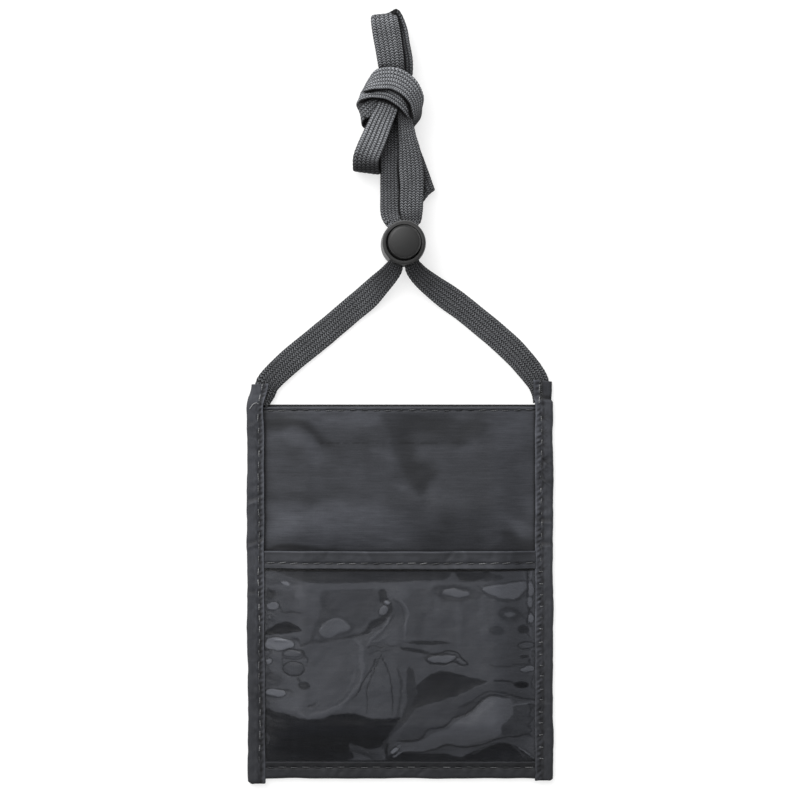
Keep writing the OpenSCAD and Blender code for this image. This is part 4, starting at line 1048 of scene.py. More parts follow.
# Larger regions of painted reflection and painted shade: tone and softness of the edge, then the
# outline
REGIONS = [
    # dark lens along the mouth
    (0.2, 0.5, -49.3, 5.4, -48.5, 3.5, -43.7, 1.8, -37.4, -0.1, -31, -0.8, -15.1, -0.7, 0.8, -0.1,
     15.1, 0.5, 19.1, 1.3, 20.3, 3.1, 19.9, 5.4),
    (0.12, 0.5, 21.9, 4.6, 22.7, 1.5, 24.6, 0.2, 29.4, -0.1, 33.4, 1, 35.8, 2.3, 35, 4, 29.4, 3.8),
    (0.24, 0.5, 35, 3.1, 39.7, 2.4, 41.3, 1, 37.4, 0.2, 33.4, 0.2),
    # dimmer field left of the curl, the wedge under it and the curl
    (0.46, 0.45, -31.3, -9.7, -30.2, -6.5, -28.3, -3.6, -19.1, -3.3, -8.4, -3.3, -7.5, -7.8,
     -9.5, -11.4, -11.9, -14.6, -15.1, -17.9, -19.2, -19, -19.9, -16.8, -23, -14.6, -27, -14.6,
     -31, -16.8, -33.4, -18.4, -34, -16.8, -31.8, -12.8),
    (0.36, 0.9, -31.8, -5.7, -28.6, -4.9, -28.6, -9.7, -23, -12, -28.6, -12.8, -31, -9.7),
    (0.17, 0.4, -15.7, -21.4, -13.5, -18.4, -10.7, -15.2, -6.7, -13.5, -4.5, -11.3, -3.5, -9.3,
     -2.4, -10.8, -4, -13.2, -7.2, -16.8, -10.3, -18.6, -12.7, -20.6),
    (0.15, 0.35, -8.4, -3.6, -5.7, -3.3, -4.9, -6.5, -3.2, -8.6, -4, -10.1, -6.7, -9.3, -8.1, -7.8),
    # dark lobe at the left edge
    (0.03, 0.3, -53.6, -20.3, -50.1, -17.6, -45.5, -16.3, -42.1, -17.1, -38.6, -19.7, -42.9, -20.5,
     -47.7, -21.3, -53.6, -21.7),
    # dark field at the lower left
    (0, 0.45, -54, -52.4, -50.1, -52.2, -46.1, -52.9, -40.5, -54.2, -35.8, -54.8, -31, -54.5,
     -27, -53.1, -23, -52.6, -19.1, -52.4, -15.1, -53.4, -11.5, -54.3, -7.2, -54.7, -3.2, -54.3,
     0, -54.3, -0.6, -57.4, -4, -61.3, -6, -64.5, -7.5, -66.3, -10.3, -66.9, -12.9, -67.2,
     -15.9, -66.3, -18.9, -65, -20.5, -65.7, -20.7, -72.1, -54, -72.1),
    (0.3, 0.5, -19.9, -64.5, -18.1, -65.3, -16.2, -67, -12.7, -68.2, -9.4, -69, -6.8, -70.7,
     -6.8, -72.1, -9.9, -72.1, -13.5, -70.2, -17.5, -68.5),
    # upright dark lobe and the dark run down from it
    (0.2, 0.5, 2.9, -34.6, 4.8, -34.6, 6, -38.3, 6.5, -44.6, 7.9, -48.6, 5.6, -51.8, 0.8, -57.4,
     -3.2, -61.3, -5.6, -65.3, -6.5, -67.3, -7.2, -65.7, -4, -60.5, 0, -55, 2.4, -48.6, 2.2, -41.5),
    # dark field right of the middle
    (0.09, 0.35, 6.4, -41.9, 8.7, -39.9, 11.3, -37.5, 15.1, -35.9, 19.1, -35.7, 23, -36.7,
     27.8, -38, 32.6, -39.2, 34.5, -39.9, 31, -41.5, 26.2, -43.8, 21.5, -45.9, 15.1, -47.8,
     11.1, -48.9, 6.4, -50.4, 4.9, -48.6, 6.8, -44.6),
    # paler fold over the diagonal band
    (0.4, 0.4, 0.8, -59.7, 6.4, -51.3, 13.5, -48.8, 21.5, -46.2, 29.4, -42.7, 36.6, -39.9,
     40.9, -41, 46.1, -43.5, 53.7, -46.2, 53.7, -47.2, 47.7, -46.4, 42.1, -44.5, 36.6, -43.5,
     31, -45.6, 25.4, -48.6, 22.7, -51, 21.5, -54.2, 18.3, -57, 13.5, -58.5, 11.1, -58.9, 8.7, -62,
     5.6, -63.1, 0, -63.7),
    (0.27, 0.35, 22.6, -51.8, 23.7, -49.4, 29.4, -47, 33.4, -45.6, 36.6, -44.6, 34.2, -46.5,
     29.4, -50, 25.4, -52.9, 21.5, -54.3),
    # the bright diagonal band
    (0.8, 0.26, 0, -65.5, 4, -64.5, 8.7, -63.4, 13.5, -60.5, 19.1, -58.6, 23, -55.4, 26.2, -53.9,
     30.2, -50.7, 34.3, -46.7, 38.9, -45.9, 43.9, -47, 45.5, -49.4, 45, -52.6, 42.9, -55.4,
     40.5, -57.4, 40.2, -60.5, 36.6, -62.6, 31, -64.2, 26.2, -65.7, 21.5, -65.3, 18.3, -64.8,
     13.5, -66.9, 8.7, -68.1, 4, -68.5, 0.8, -68),
    (0.86, 1.4, 32.6, -49.4, 38.2, -46.5, 43.7, -47.5, 45, -50.2, 42.1, -55, 39.7, -58.1,
     35.8, -60.5, 28.6, -62.1, 25.4, -59.7),
    # right of it and under it
    (0.38, 0.35, 45.5, -49.7, 53.7, -48.9, 53.7, -62.1, 47.7, -61.5, 42.9, -61.8, 40.5, -60.7,
     40.9, -57.8, 43.4, -55.4, 45.3, -52.7),
    (0.27, 0.4, 40.9, -58, 44.5, -57.4, 44.2, -61, 40.9, -60.7),
    (0.42, 0.35, 29.4, -66.3, 35, -64.8, 39.7, -63.2, 43.7, -62.3, 48.5, -62.6, 53.7, -63.4,
     53.7, -70.1, 50.1, -67.4, 45.5, -65, 40.5, -64, 34.2, -65.6, 29.4, -67.4),
    (0, 0.35, 23.8, -71.3, 31, -67.5, 37.4, -65, 41.5, -64.3, 45.5, -65.6, 50.1, -67.7, 54.2, -71,
     54.2, -72.5, 23.8, -72.5),
    (0.03, 0.4, -4, -72.5, -4, -69.3, 0.8, -68.8, 12.7, -69, 19.1, -69.4, 24.6, -70.5, 24.6, -72.5),
]
# Fine painted lines of reflection and shade: width and tone, then the points
LINES = [
    # rims of the diagonal band
    (0.32, 0.1, -0.8, -64, 5.6, -63.5, 8.7, -62.3, 11.3, -58.9, 14.5, -58.6, 18.3, -57.4,
     21.6, -54.2, 25.6, -53.1, 29.6, -50, 33.5, -46.2, 37.4, -45.1, 42.9, -46.1),
    (0.35, 0.14, 54.2, -47.7, 47.7, -46.7, 42.3, -44.7, 36.7, -43.7, 32, -45.4, 27, -48.9,
     23.4, -50.4),
    (0.32, 0.1, 0.8, -68.6, 7.2, -68.5, 13.5, -67.4, 19.1, -65.4, 24.6, -66.3, 29.4, -66.2,
     35, -64.6, 38.9, -62.9, 42.9, -62, 47.7, -61.9, 50.9, -61.2, 53.4, -63.1),
    (0.3, 0.9, 45.5, -49.7, 49.3, -49.1, 54, -48.8),
    # the long line from the left that becomes the wedge
    (0.55, 0.28, -39.3, -25.7, -35, -24.1, -28.6, -23.5, -21.5, -22.1, -16.7, -21.4, -13.5, -20.6),
    (0.6, 0.36, -35, -23.8, -34.5, -20.8, -33, -17.6, -31, -13.6),
    # fine lines under the curl
    (0.28, 0.34, -2.8, -7.1, 0.3, -9.3, 1.7, -13.6, 2.1, -17.6),
    (0.4, 0.8, 0.8, -7.8, 3.5, -12.2, 2.5, -17.6, 2.2, -23.3),
    (0.45, 0.3, -2.4, -13.6, -5.6, -17.6, -7.9, -20),
    (0.36, 0.84, -4, -14.6, -7.2, -19.2, -10.7, -22.4, -12.7, -25.6),
    (0.22, 0.3, -13.1, -26.4, -10.3, -25.4, -7.2, -26.4, -5.4, -25.1, -3.6, -25.6, 0.8, -25.4),
    (0.25, 0.36, -11.9, -28.7, -8.7, -27.2, -6.4, -27.9, -2.4, -26.8),
    (0.3, 0.8, -10.3, -24, -7.9, -23.3, -4.8, -21.6),
    # upright lines of the pale middle
    (0.3, 0.2, -9.4, -31.1, -11.9, -35.9, -14.3, -39.9, -17.5, -45.4, -18.9, -47.2),
    (0.24, 0.26, -7.2, -29.2, -9.5, -33.5, -12.7, -41.5, -13.2, -46.2, -13.2, -52.6),
    (0.28, 0.2, -6.7, -30.8, -4.5, -36.7, -3.2, -44.6, -2.9, -52.9),
    (0.4, 0.28, -0.8, -34.8, 0.6, -41.5, 0, -49.4, -1.1, -54.3),
    (0.42, 0.8, -17.5, -23.3, -15.1, -26.5, -14.7, -31.9, -15.1, -38.3, -17.5, -43, -23, -48.6,
     -28.6, -51.3, -35.8, -53.5),
    (0.36, 0.68, -19.9, -27.2, -17.5, -31.9, -18.3, -38.3, -21.5, -44.6, -27, -49.4),
    (0.45, 0.8, -40.5, -52.2, -36.6, -54.3, -31, -52.9, -24.6, -50.7, -20.7, -46.9),
    (0.36, 0.7, -35, -39.1, -32, -44.3, -32.6, -48.6, -35, -51.2),
    (0.35, 0.2, -36.1, -49.7, -32.9, -47.8),
    # rims of the outlined islands
    (0.3, 0.08, 9.9, -30.5, 14.3, -28.7, 21.5, -27.9, 24.6, -29.9, 26.7, -32.4, 25.4, -33.2,
     21.5, -32.1, 16.7, -32.9, 11.9, -32.4, 9.9, -30.5),
    (0.7, 0.36, 13.5, -3.1, 17.1, -2, 24.6, -2.4, 28.6, -4.1, 32, -5.1),
    (0.7, 0.36, 14, -4.6, 16.7, -6.3, 21.5, -7.1, 27.8, -6.5, 32, -5.5),
    (0.45, 0.3, 39.4, -12.5, 41.7, -10.9, 46.1, -11.4, 48.5, -13.3, 50.9, -12.8),
    (0.45, 0.3, 39.4, -13.3, 41.7, -15.1, 45.3, -15.1, 48.5, -14.1, 51.7, -16.2),
    (0.35, 0.3, 31.3, -2, 34, -5.4, 38.9, -7.4, 45.3, -8.1, 50.2, -5.7),
    (0.28, 0.14, -45.9, -27.8, -42.9, -27.2, -38.5, -27.9, -38.3, -31.1),
    (0.24, 0.26, -46.9, -27.5, -47.2, -31.1, -47.1, -34.3),
    (0.28, 0.1, -47.1, -35.1, -45.5, -32.9, -41.7, -32.2, -38.8, -33.3, -38.3, -35.6, -41.2, -37.6,
     -44.8, -37, -47.1, -35.1),
    (0.26, 0.14, -46.6, -28.9, -44.7, -27.5, -40.9, -27.6, -38.8, -28.7, -39.3, -30.6, -42.9, -31.3,
     -46.3, -30.6, -46.6, -28.9),
    (0.26, 0.16, -38.5, -29.7, -36.9, -31.1, -37.2, -33.5),
    (0.4, 0.2, -42.9, -22.9, -40.4, -23.7, -39.9, -25.2, -38.9, -25.9),
    (0.4, 0.25, -45.9, -43.5, -42.9, -44.2, -43.6, -45.9), (0.5, 0.2, -40.5, -38.8, -38.2, -41.1),
    (0.35, 0.06, 37.7, -39.4, 42.9, -39.9, 45.8, -41),
    (0.4, 0.3, 35.8, -33.3, 40.5, -33.9, 47.7, -33.5, 53.6, -33.3),
    (0.25, 0.1, 47.2, -25.4, 50.1, -24.3, 53.4, -25.1),
    (0.25, 0.12, 47.4, -26.4, 49.9, -27.6, 53.1, -26.8),
    (0.26, 0.2, 16.8, -4.1, 20.7, -2.7, 25.3, -3.1, 28.6, -4.7, 25.1, -6.5, 20.5, -6.3, 16.8, -4.1),
    (0.25, 0.12, 51.7, 1.5, 52.8, -0.1, 51.5, -1.7),
    (0.25, 0.12, 52, -8.1, 53.1, -9.7, 51.8, -12, 52.9, -13.6),
    (0.3, 0.1, 51.5, -16.8, 52.9, -18.4), (0.25, 0.12, 50.9, -21.6, 52.5, -23.3, 51.3, -24.9),
    (0.25, 0.1, 52.1, -27.9, 53.4, -28.7), (0.25, 0.12, 52.5, -31.1, 51.5, -32.7, 53.3, -33.9),
    (0.25, 0.15, 52.8, -40.7, 53.4, -43), (0.25, 0.2, 52.1, -44.6, 53.4, -46.2),
    (0.28, 0.1, 52, -49.4, 53.3, -50.4, 52.1, -51.8), (0.25, 0.1, 51.3, -54.2, 53.4, -55),
    (0.25, 0.12, 50.9, -58.1, 52.5, -59.7, 51.2, -61.3),
    (0.25, 0.12, -53.3, -8.1, -51.3, -8.9, -52.5, -10.1, -50.5, -10.8),
    (0.25, 0.1, -53.4, -17.6, -52.5, -19.2), (0.28, 0.12, -53.3, -27.9, -51.3, -28.7, -52.5, -29.7),
    (0.25, 0.12, -52.9, -35.1, -51.7, -36.7, -53.1, -38),
    (0.25, 0.15, -53.4, -41.5, -52.1, -42.4, -53.3, -43.8),
    (0.25, 0.12, -53.4, -46.2, -51.7, -46.9), (0.25, 0.3, -53.3, -54.2, -51.7, -55, -52.9, -56.6),
    (0.25, 0.3, -53.4, -61.3, -52.5, -63.7, -53.3, -66.1),
    # crinkles along the side seams
    (0.28, 0.2, 51, 3.8, 51.3, -0.9, 51, -5.7, 51.7, -10.5, 50.9, -15.2, 51.5, -19.2),
    (0.3, 1.1, 52.6, 4.2, 52.3, -0.1), (0.35, 0.7, 49.3, 3.4, 49.9, 1, 50.9, -0.3),
    (0.3, 0.8, 52, -19.2, 52.6, -22.4, 52.1, -24),
    (0.3, 0.7, 52.5, -27.2, 52.1, -29.5, 52.9, -33.5),
    (0.3, 0.15, 51.3, -49.4, 52.6, -51.8, 51.7, -53.5, 52.9, -55.4, 51.5, -57.4, 52.6, -59.7),
    (0.3, 0.2, 53.3, -38.3, 52.8, -41.5, 53.4, -44.6),
    (0.35, 0.12, -52.9, -3.3, -51.7, -4.6, -50.1, -4.1),
    (0.28, 0.2, -48.8, -8.6, -47.7, -11.4, -45.3, -12.7, -40.9, -12.5),
    (0.3, 0.2, -53.1, -11.7, -50.1, -12.2),
    (0.28, 0.15, -52.8, -13.6, -50.9, -14.6, -52.5, -15.7, -50.5, -16.3),
    (0.25, 1.1, -52.1, -14.1, -51.7, -15.1), (0.3, 0.15, -53.3, -30.3, -52, -30.8),
    (0.3, 0.25, -53.3, -33.9, -52.5, -35.1, -53.1, -38.3),
    (0.3, 0.2, -53.3, -47.8, -52.3, -49.4, -53.3, -51), (0.3, 1.6, -50.1, -24, -45.3, -23.8),
    # thin light lines like threads, painted, in the dark corner and at the bottom
    (0.25, 0.75, 47.4, -66.7, 53.7, -71), (0.22, 0.3, 45, -65.8, 49.8, -70.5),
    (0.28, 0.3, 29.4, -69.4, 34.2, -66.6, 40.5, -64), (0.3, 1, -2.4, -70.5, 0.8, -68.5, 5.6, -67.3),
    (0.55, 0.06, -4.8, -65.3, -5.7, -68.5, -4.6, -72),
    (0.4, 0.5, -10.3, -67.7, -7.2, -68.9, -6.4, -72.1),
    (0.4, 0.16, -19.9, -67.7, -15.1, -68.9, -10.3, -71.7),
    (0.3, 0.8, 0, -64.5, -1.9, -65.5, -3.2, -66.9),
]


def film_fields(x, y):
    """The film's painted reflection tone and its relief over the plane: where it is painted lighter
    the film also stands off the cloth.
    """
    # the places are bent a little, so that no outline is plain
    bx = x + 0.3 * noise2(x, y, 3.4, 71) + 0.24 * noise2(x, y, 1.5, 73)
    by = y + 0.24 * noise2(x, y, 3.1, 77) + 0.2 * noise2(x, y, 1.4, 79)
    tone = BASE_TONE + 0.10 * cloud(x, y, 16, 81)
    relief = np.zeros_like(x)
    for cx, cy, rx, ry, turn, t, soft in OVALS:
        d = oval(bx, by, cx, cy, rx, ry, turn)
        k = ease((1 + soft * 0.5 - d) / max(soft, 0.05))
        tone = tone * (1 - k) + t * k
        relief += (t - 0.4) * 0.35 * k * min(1, ry / 4)
    for t, soft, *outline in REGIONS:
        d = inside(bx, by, outline)
        k = ease(d / (2 * soft) + 0.5)
        tone = tone * (1 - k) + t * k
        relief += (t - 0.4) * 0.7 * ease(d / 5 + 0.3)
    for width, t, *line in LINES:
        d = to_line(bx, by, line)
        ends = 1 - 0.5 * ease(np.hypot(x - line[-2], y - line[-1]) * -0.3 + 1)
        k = np.minimum(1.25 * bell(d, width * 1.1), 1) * ends
        tone = tone * (1 - k) + t * k
        relief += (t - 0.4) * 0.28 * bell(d, width * 1.6)
    for t, rim, dark, *outline in ISLANDS:
        d = inside(bx, by, outline)
        k = bell(d + rim * 0.8, rim * 0.8) * 0.95 * (d < rim)
        tone = tone * (1 - k) + dark * k
        k = ease(d / 0.5 + 0.5)
        tone = tone * (1 - k) + t * k
        relief += 0.16 * ease(d / 1.4 + 0.4)
    # cloth-like streaks across the film and thin upright ones
    tone = tone + 0.035 * noise2(x * 0.15, y, 0.9, 85) + 0.03 * noise2(x, y * 0.12, 2.2, 87)
    return np.clip(tone, 0, 2), relief


def film_puff(x, y):
    """The film's height without its creases."""
    across = ease((54.8 - np.abs(x)) / 18)
    return 2.15 + across * 5.9 * ease((y - LOW_TOP) / 16)


def film_top(x, y, relief):
    hold = (ease((55.6 - np.abs(x)) / 6) * ease((y - LOW_TOP) / 7)
            * ease((MOUTH_Y - 6.5 - y) / 5))
    z = film_puff(x, y) + hold * (0.9 * relief + 0.35 * cloud(x, y, 13, 91)
                                  + 0.1 * cloud(x, y, 4.2, 97))
    # fine gathers that run in from the side seams
    side = bell(54.6 - np.abs(x), 5)
    return z + 0.14 * hold * side * wobble(y + 0.3 * x, 33, 3.6)


# ---------------------------------------------------------------- pouch: panels and film

def rows_to(top, gap, low_count, top_count):
    """Rows of a panel's grid from the bottom edge up, closer together in the last bit, the gap."""
    return np.concatenate([np.linspace(CLOTH_LOW, top - gap, low_count),
                           np.linspace(top - (gap - 0.2), top, top_count)])


def front_thick(x, y):
    return CLOTH + CLOTH * ease((y - (FRONT_TOP - 4.4)) / 0.5)


def back_top(x, y):
    z = 0.8 + 0.05 * cloud(x, y, 22, 15) * ease((56 - np.abs(x)) / 10)
    return z - 0.25 * ease((y - (BACK_TOP - 0.5)) / 0.5) ** 2


xs = np.linspace(-59.9, 59.9, 241)
front = cloth_sheet("front_panel_cloth", xs, rows_to(FRONT_TOP, 6, 231, 42), hem_top, front_thick,
                    panel_lit)
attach(front, "pouch")
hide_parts("front_panel")

# the back panel's painted shade: its top edge, shown above the front's hem, is painted dark
back = cloth_sheet("back_panel_cloth", xs, rows_to(BACK_TOP, 3, 180, 16), back_top,
                   lambda x, y: CLOTH, lambda x, y: -2.2 * ease((y - 67) / 1.5))
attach(back, "pouch")
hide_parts("back_panel")

film_xs, film_ys = np.linspace(-59.4, 59.4, 521), np.linspace(-77.5, MOUTH_Y - 0.6, 391)
X, Y = np.meshgrid(film_xs, film_ys)
tone, relief = film_fields(X, Y)
# the film's painted reflection stops just inside the tapes and bands
open_film = (ease((OPEN_X - np.abs(X)) / 0.5) * ease((MOUTH_Y - BAND_W - 0.85 - Y) / 0.35)
             * ease((Y - LOW_TOP - 0.2) / 0.7))
# how strong the painted reflection is
PAINTED_REFLECTION_FULL = 0.088   # of a tone of 1
painted_reflection = PAINTED_REFLECTION_FULL * tone ** 0.95 * (0.02 + 0.98 * open_film)
film_z = np.maximum(film_top(X, Y, relief), hem_top(X, Y) + 0.35)
film_ob = piece("window_film_sheet", np.stack([X, Y, film_z], 2).reshape(-1, 3),
                grid_faces(len(film_xs), len(film_ys)), film_mat, values={"painted_reflection": painted_reflection})
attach(film_ob, "pouch")
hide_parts("window_film")


# ---------------------------------------------------------------- pouch: bindings and bands

def tape_loop(width, flat=30, fold=12):
    """Closed outline of tape folded round an edge: distance from the fold, height, and the share
    of the front's shape that the point takes, from 1 on the front to 0 at the back."""
    r = BIND_T / 2
    end = width - 0.15
    pts = [(d, BIND_T, 1.0) for d in np.linspace(end, r, flat)]
    pts += [(r - r * math.sin(a), r + r * math.cos(a), 0.5 + 0.5 * math.cos(a))
            for a in np.linspace(0, math.pi, fold + 1)[1:-1]]
    pts += [(d, 0.0, 0.0) for d in np.linspace(r, end, flat)]
    pts += [(width, 0.12, 0.0), (width, CLOTH - 0.12, 0.0)]
    ri = r - CLOTH
    pts += [(d, CLOTH, 0.0) for d in np.linspace(end, r, 8)]
    pts += [(r - ri * math.sin(a), r - ri * math.cos(a), 0.5 - 0.5 * math.cos(a))
            for a in np.linspace(0, math.pi, 7)[1:-1]]
    pts += [(d, BIND_T - CLOTH, 1.0) for d in np.linspace(r, end, 8)]
    pts += [(width, BIND_T - CLOTH + 0.12, 1.0), (width, BIND_T - 0.12, 1.0)]
    return np.array(pts)


def folded(name, width, runs, bend, mat, lit):
    """Tape along a seam. bend and lit take the distance from the fold, the run, the height (bend
    only) and the share of the front, and give the points and the shade."""
    loop = tape_loop(width)
    d, h, front_share = (np.broadcast_to(loop[None, :, k], (len(runs), len(loop)))
                         for k in range(3))
    t = np.broadcast_to(runs[:, None], d.shape)
    return piece(name, bend(d, t, h, front_share).reshape(-1, 3), tube_faces(len(runs), len(loop)),
                 mat, values={"lit": lit(d, t, front_share)})


# Cross creases of each side binding: place at the fold, slant, painted shade above it (which also
# sets its depth), painted highlight below it, and how far in from the fold it reaches
LEFT_CREASES = [
    (61.6, 0.15, 0.55, 0.15, 4), (57.4, -0.1, 0.2, 0.3, 4), (46, 0.2, 0.25, 0.2, 4),
    (30.4, 0.4, 0.9, 0.6, 7), (13.4, 0.36, 1, 0.6, 8), (3, -0.3, 0.2, 0.2, 4),
    (-5.6, 0.05, 0.75, 0.35, 4.4), (-22.8, 0.1, 0.25, 0.3, 4), (-31.8, 0.05, 0.25, 0.3, 7),
    (-47, 0.2, 0.2, 0.2, 4), (-60, -0.2, 0.25, 0.15, 4), (-69, 0.1, 0.2, 0.1, 4),
]
RIGHT_CREASES = [
    (63.6, 0.55, 0.55, 0.2, 4.6), (57.6, 0.25, 0.35, 0.2, 4.6), (52, 0.1, 0.3, 0.15, 4.4),
    (48.6, -0.55, 0.6, 0.3, 4.6), (45.2, 0.5, 0.6, 0.3, 4.6), (37.6, 0.6, 0.95, 0.5, 4.6),
    (32, 0.2, 0.35, 0.2, 4.4), (23.2, 0.02, 1, 0.6, 8), (14, -0.03, 1, 0.6, 8),
    (6, 0.3, 0.3, 0.15, 4), (-9, 0.1, 0.2, 0.15, 4), (-25, 0.1, 0.25, 0.1, 4),
    (-39, -0.1, 0.15, 0.15, 4), (-49, 0, 0.3, 0.4, 8), (-59.6, 0.05, 0.3, 0.2, 8),
    (-70, 0.2, 0.2, 0.1, 4),
]
# Fans of gathers beside the stitches, drawn as painted shade: place, slants, strength
FANS = {
    -1: [
        (60, (0, 0.6), 0.3), (50.6, (-0.5, 0.3), 0.3), (30, (0.4,), 0.4), (-5, (0, 0.5), 0.3),
    ],
    1: [
        (65.2, (-0.7, 0, 0.7), 0.6), (59, (-0.6, 0.1, 0.8), 0.7), (54.4, (-0.5, 0.3), 0.6),
        (48.8, (-0.9, -0.3, 0.4), 0.9), (44.2, (-0.3, 0.5), 0.7), (39.6, (-0.6, -0.2), 0.8),
        (34.6, (0, 0.5), 0.5), (30, (-0.4,), 0.4), (4.6, (0, 0.5), 0.5), (-10, (0.2,), 0.35),
        (-34, (0,), 0.3),
    ],
}


def pucker(d, t, seed, seam):
    """Cloth held down along a stitch row and swelling between its stitches."""
    beat = beat_of(t, seed)
    groove = -(0.20 + 0.16 * beat) * bell(d - seam, 0.6)
    swell = (0.12 * (beat - 0.4) * bell(d - seam - 1.5, 0.9)
             + 0.12 * (0.6 - beat) * bell(d - seam + 1.7, 1.1))
    gather = 0.13 * wobble(t, seed + 1, 6.5) * bell(d - seam + 2.6, 1.8)
    return groove + swell + gather


def side_tape(side):
    """The left (-1) or right (1) side binding."""
    word, creases, seed = (("left", LEFT_CREASES, 41) if side < 0
                           else ("right", RIGHT_CREASES, 59))

    def bend(d, t, h, f):
        z = h + f * pucker(d, t, seed, SEAM_D)
        for y0, slant, dark, light, far in creases:
            u = t - y0 - slant * d
            z = z + (f * 0.34 * dark * (bell(u + 0.2, 0.9) - bell(u - 1.6, 1.3))
                     * ease((far - d) / 1.6))
        z = z + f * 0.10 * cloud(d * 2, t, 7, seed + 7)
        # the tape's front edge lies down on the panel, the fold is soft and uneven
        z = z + f * 0.12 * ease((d - 5.6) / 1.4)
        move = 0.30 * wobble(t, seed + 9, 26) + 0.10 * wobble(t, seed + 13, 6)
        dist = (d + move * ease((3.2 - d) / 3.2) * 0.8
                + 0.16 * wobble(t, seed + 17, 18) * ease((d - 5.4) / 1.6))
        x = side * (POUCH_X - dist)
        tall = ease((t - TAB_Y) / 12)
        if side < 0:
            # the left tab leans in, and the whole tape drifts in a little towards its lower end
            x = x + 1.7 * tall + 0.45 * ease((10 - t) / 80)
            z = z + f * (0.3 * bell(t - 71.5, 2.2) - 0.15 * tall)
        else:
            # the right tab is folded a second time, with the step of the lower layer across it
            above = ease((t - TAB_STEP) / 0.8)
            x = x - 0.55 * above * ease((7 - d) / 5) - (0.3 + 0.6 * above) * ease((d - 5) / 2)
            z = (z - f * 0.32 * ease((t - 72.2 - 0.12 * (d - 3)) / 0.5)
                 + f * 0.16 * bell(t - 71.4, 0.8))
        y = t + 0.18 * wobble(d, seed + 21, 5) * ease((np.abs(t) - 70) / 10)
        # rounded bottom corners and, on the left, a rounded top corner
        y = y + 0.7 * bell(d, 1.1) * ease((-77.6 - t) / 2.4)
        if side < 0:
            y = y - 1.2 * ease((-70 - t) / 10)
            y = y - 1.2 * ease((t - 70) / 10) + tall * (-0.03 * (7 - d) - 0.2 * bell(d, 0.8))
            x = x - 0.5 * bell(t - TAB_Y, 7) * ease((d - 5) / 2)
        else:
            y = y + tall * 0.3 * (d - 3.5) / 3.5
        return np.stack([x, y, np.maximum(z, 0.02)], 2)

    def lit(d, t, f):
        # painted shade: darker towards the bottom, where the light falls off, and at the fold
        out = (0.06 - 0.8 * ease((20 - t) / 80) - 0.55 * ease((0.9 - d) / 0.9)
               + 0.12 * cloud(d * 2, t, 5, seed + 31))
        for y0, slant, dark, light, far in creases:
            u = t - y0 - slant * d
            out = out + ((0.75 * light * bell(u + 0.25, 0.4) - 0.85 * dark * bell(u - 0.9, 1.0))
                         * ease((far - d) / 1.4))
        # painted shade, flecked, in the groove along the stitches, and light and dark in the edge
        # strip inside it
        fleck = (0.5 + 0.5 * noise2(d * 1.2, t, 1.1, seed + 33)
                 + 0.8 * beat_of(t, seed) ** 3)
        shift = 0.5 if side < 0 else -0.6
        out = out - (0.5 + 0.9 * fleck) * bell(d - SEAM_D - shift, 0.55)
        out = out + 0.75 * noise2(d * 1.6, t, 1.2, seed + 35) * bell(d - SEAM_D, 1.7)
        # slanted ticks of dark and light in the strip
        ticks = np.cos(2 * math.pi * (t + 0.55 * side * d) / 2.1
                       + 1.5 * noise2(d, t, 4, seed + 39))
        out = out - ((0.6 + 1.5 * ease(noise2(d * 0.5, t, 2.6, seed + 41) + 0.5))
                     * ease(ticks) * bell(d - 5.5, 0.8))
        out = out + (0.9 * ease(-ticks) * bell(d - 5.7, 0.7)
                     * ease(noise2(d, t, 3.1, seed + 43) + 0.4))
        # painted shade along small fans of gathers that run out from the stitches
        for t0, slants, stops in FANS[side]:
            for k in slants:
                u = t - t0 - k * (SEAM_D - 0.3 - d)
                out = out - (stops * bell(u, 0.32) * ease((d - 1.6) / 1.6)
                             * ease((SEAM_D - d) / 0.6))
        # painted light in the strip inside the tape's inner edge, a painted highlight on that edge
        # and painted shade at the very edge
        out = out + 0.22 * bell(d - 6.3, 0.7) * (1 + 0.6 * noise2(d * 2, t, 2, seed + 45))
        out = (out + (0.8 + 0.3 * noise2(d, t, 3, seed + 37)) * bell(d - 6.75, 0.3)
               - 0.8 * bell(d - 7.25, 0.25))
        # the tabs: painted highlights on the right one's edges and at its second fold, painted
        # shade above that fold, and on the left one a lighter tab with painted shade in its hollow
        if side > 0:
            out = (out + 0.8 * bell(d - 5.5, 0.3) * ease((t - 70) / 2)
                   + 1.1 * bell(t - 79.7, 0.3) * ease(d - 1.5))
            out = (out - 0.75 * ease((t - 72.4) / 0.5) + 0.3 * bell(t - 71.8, 0.5)
                   - 1.3 * bell(t - 73.3, 0.9) * ease((5.4 - d) / 0.8))
        else:
            out = (out + 0.18 * ease((t - TAB_Y) / 6)
                   - 0.45 * bell(d - 6, 1.6) * bell(t - 76, 2))
        # painted shade at the bottom end, and the back layer painted darker than the front
        out = out - 0.8 * ease((-78.6 - t) / 1.4)
        return out * f - 0.6 * (1 - f)

    ob = folded(word + "_binding_tape", TAPE_W, np.linspace(POUCH_BOTTOM, POUCH_TOP, 401), bend,
                tape_mat, lit)
    if side > 0:
        ob.data.flip_normals()
    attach(ob, "pouch")
    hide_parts(word + "_side_binding")
    return ob


left_tape, right_tape = side_tape(-1), side_tape(1)

# Creases across the two bands: place, slant, depth
LOW_CREASES = ((-24, 0.6, -0.3), (-8, -0.7, 0.3), (8.5, 0.9, -0.34), (2, 0.8, 0.26),
               (32, -0.5, -0.24), (-42, 0.4, 0.2))
BAND_CREASES = ((19, 0.7, -0.34), (-12, -0.5, 0.22), (27, -0.4, 0.24), (-30, 0.5, -0.2),
                (36, 0.4, -0.2), (44, 0.3, 0.2))


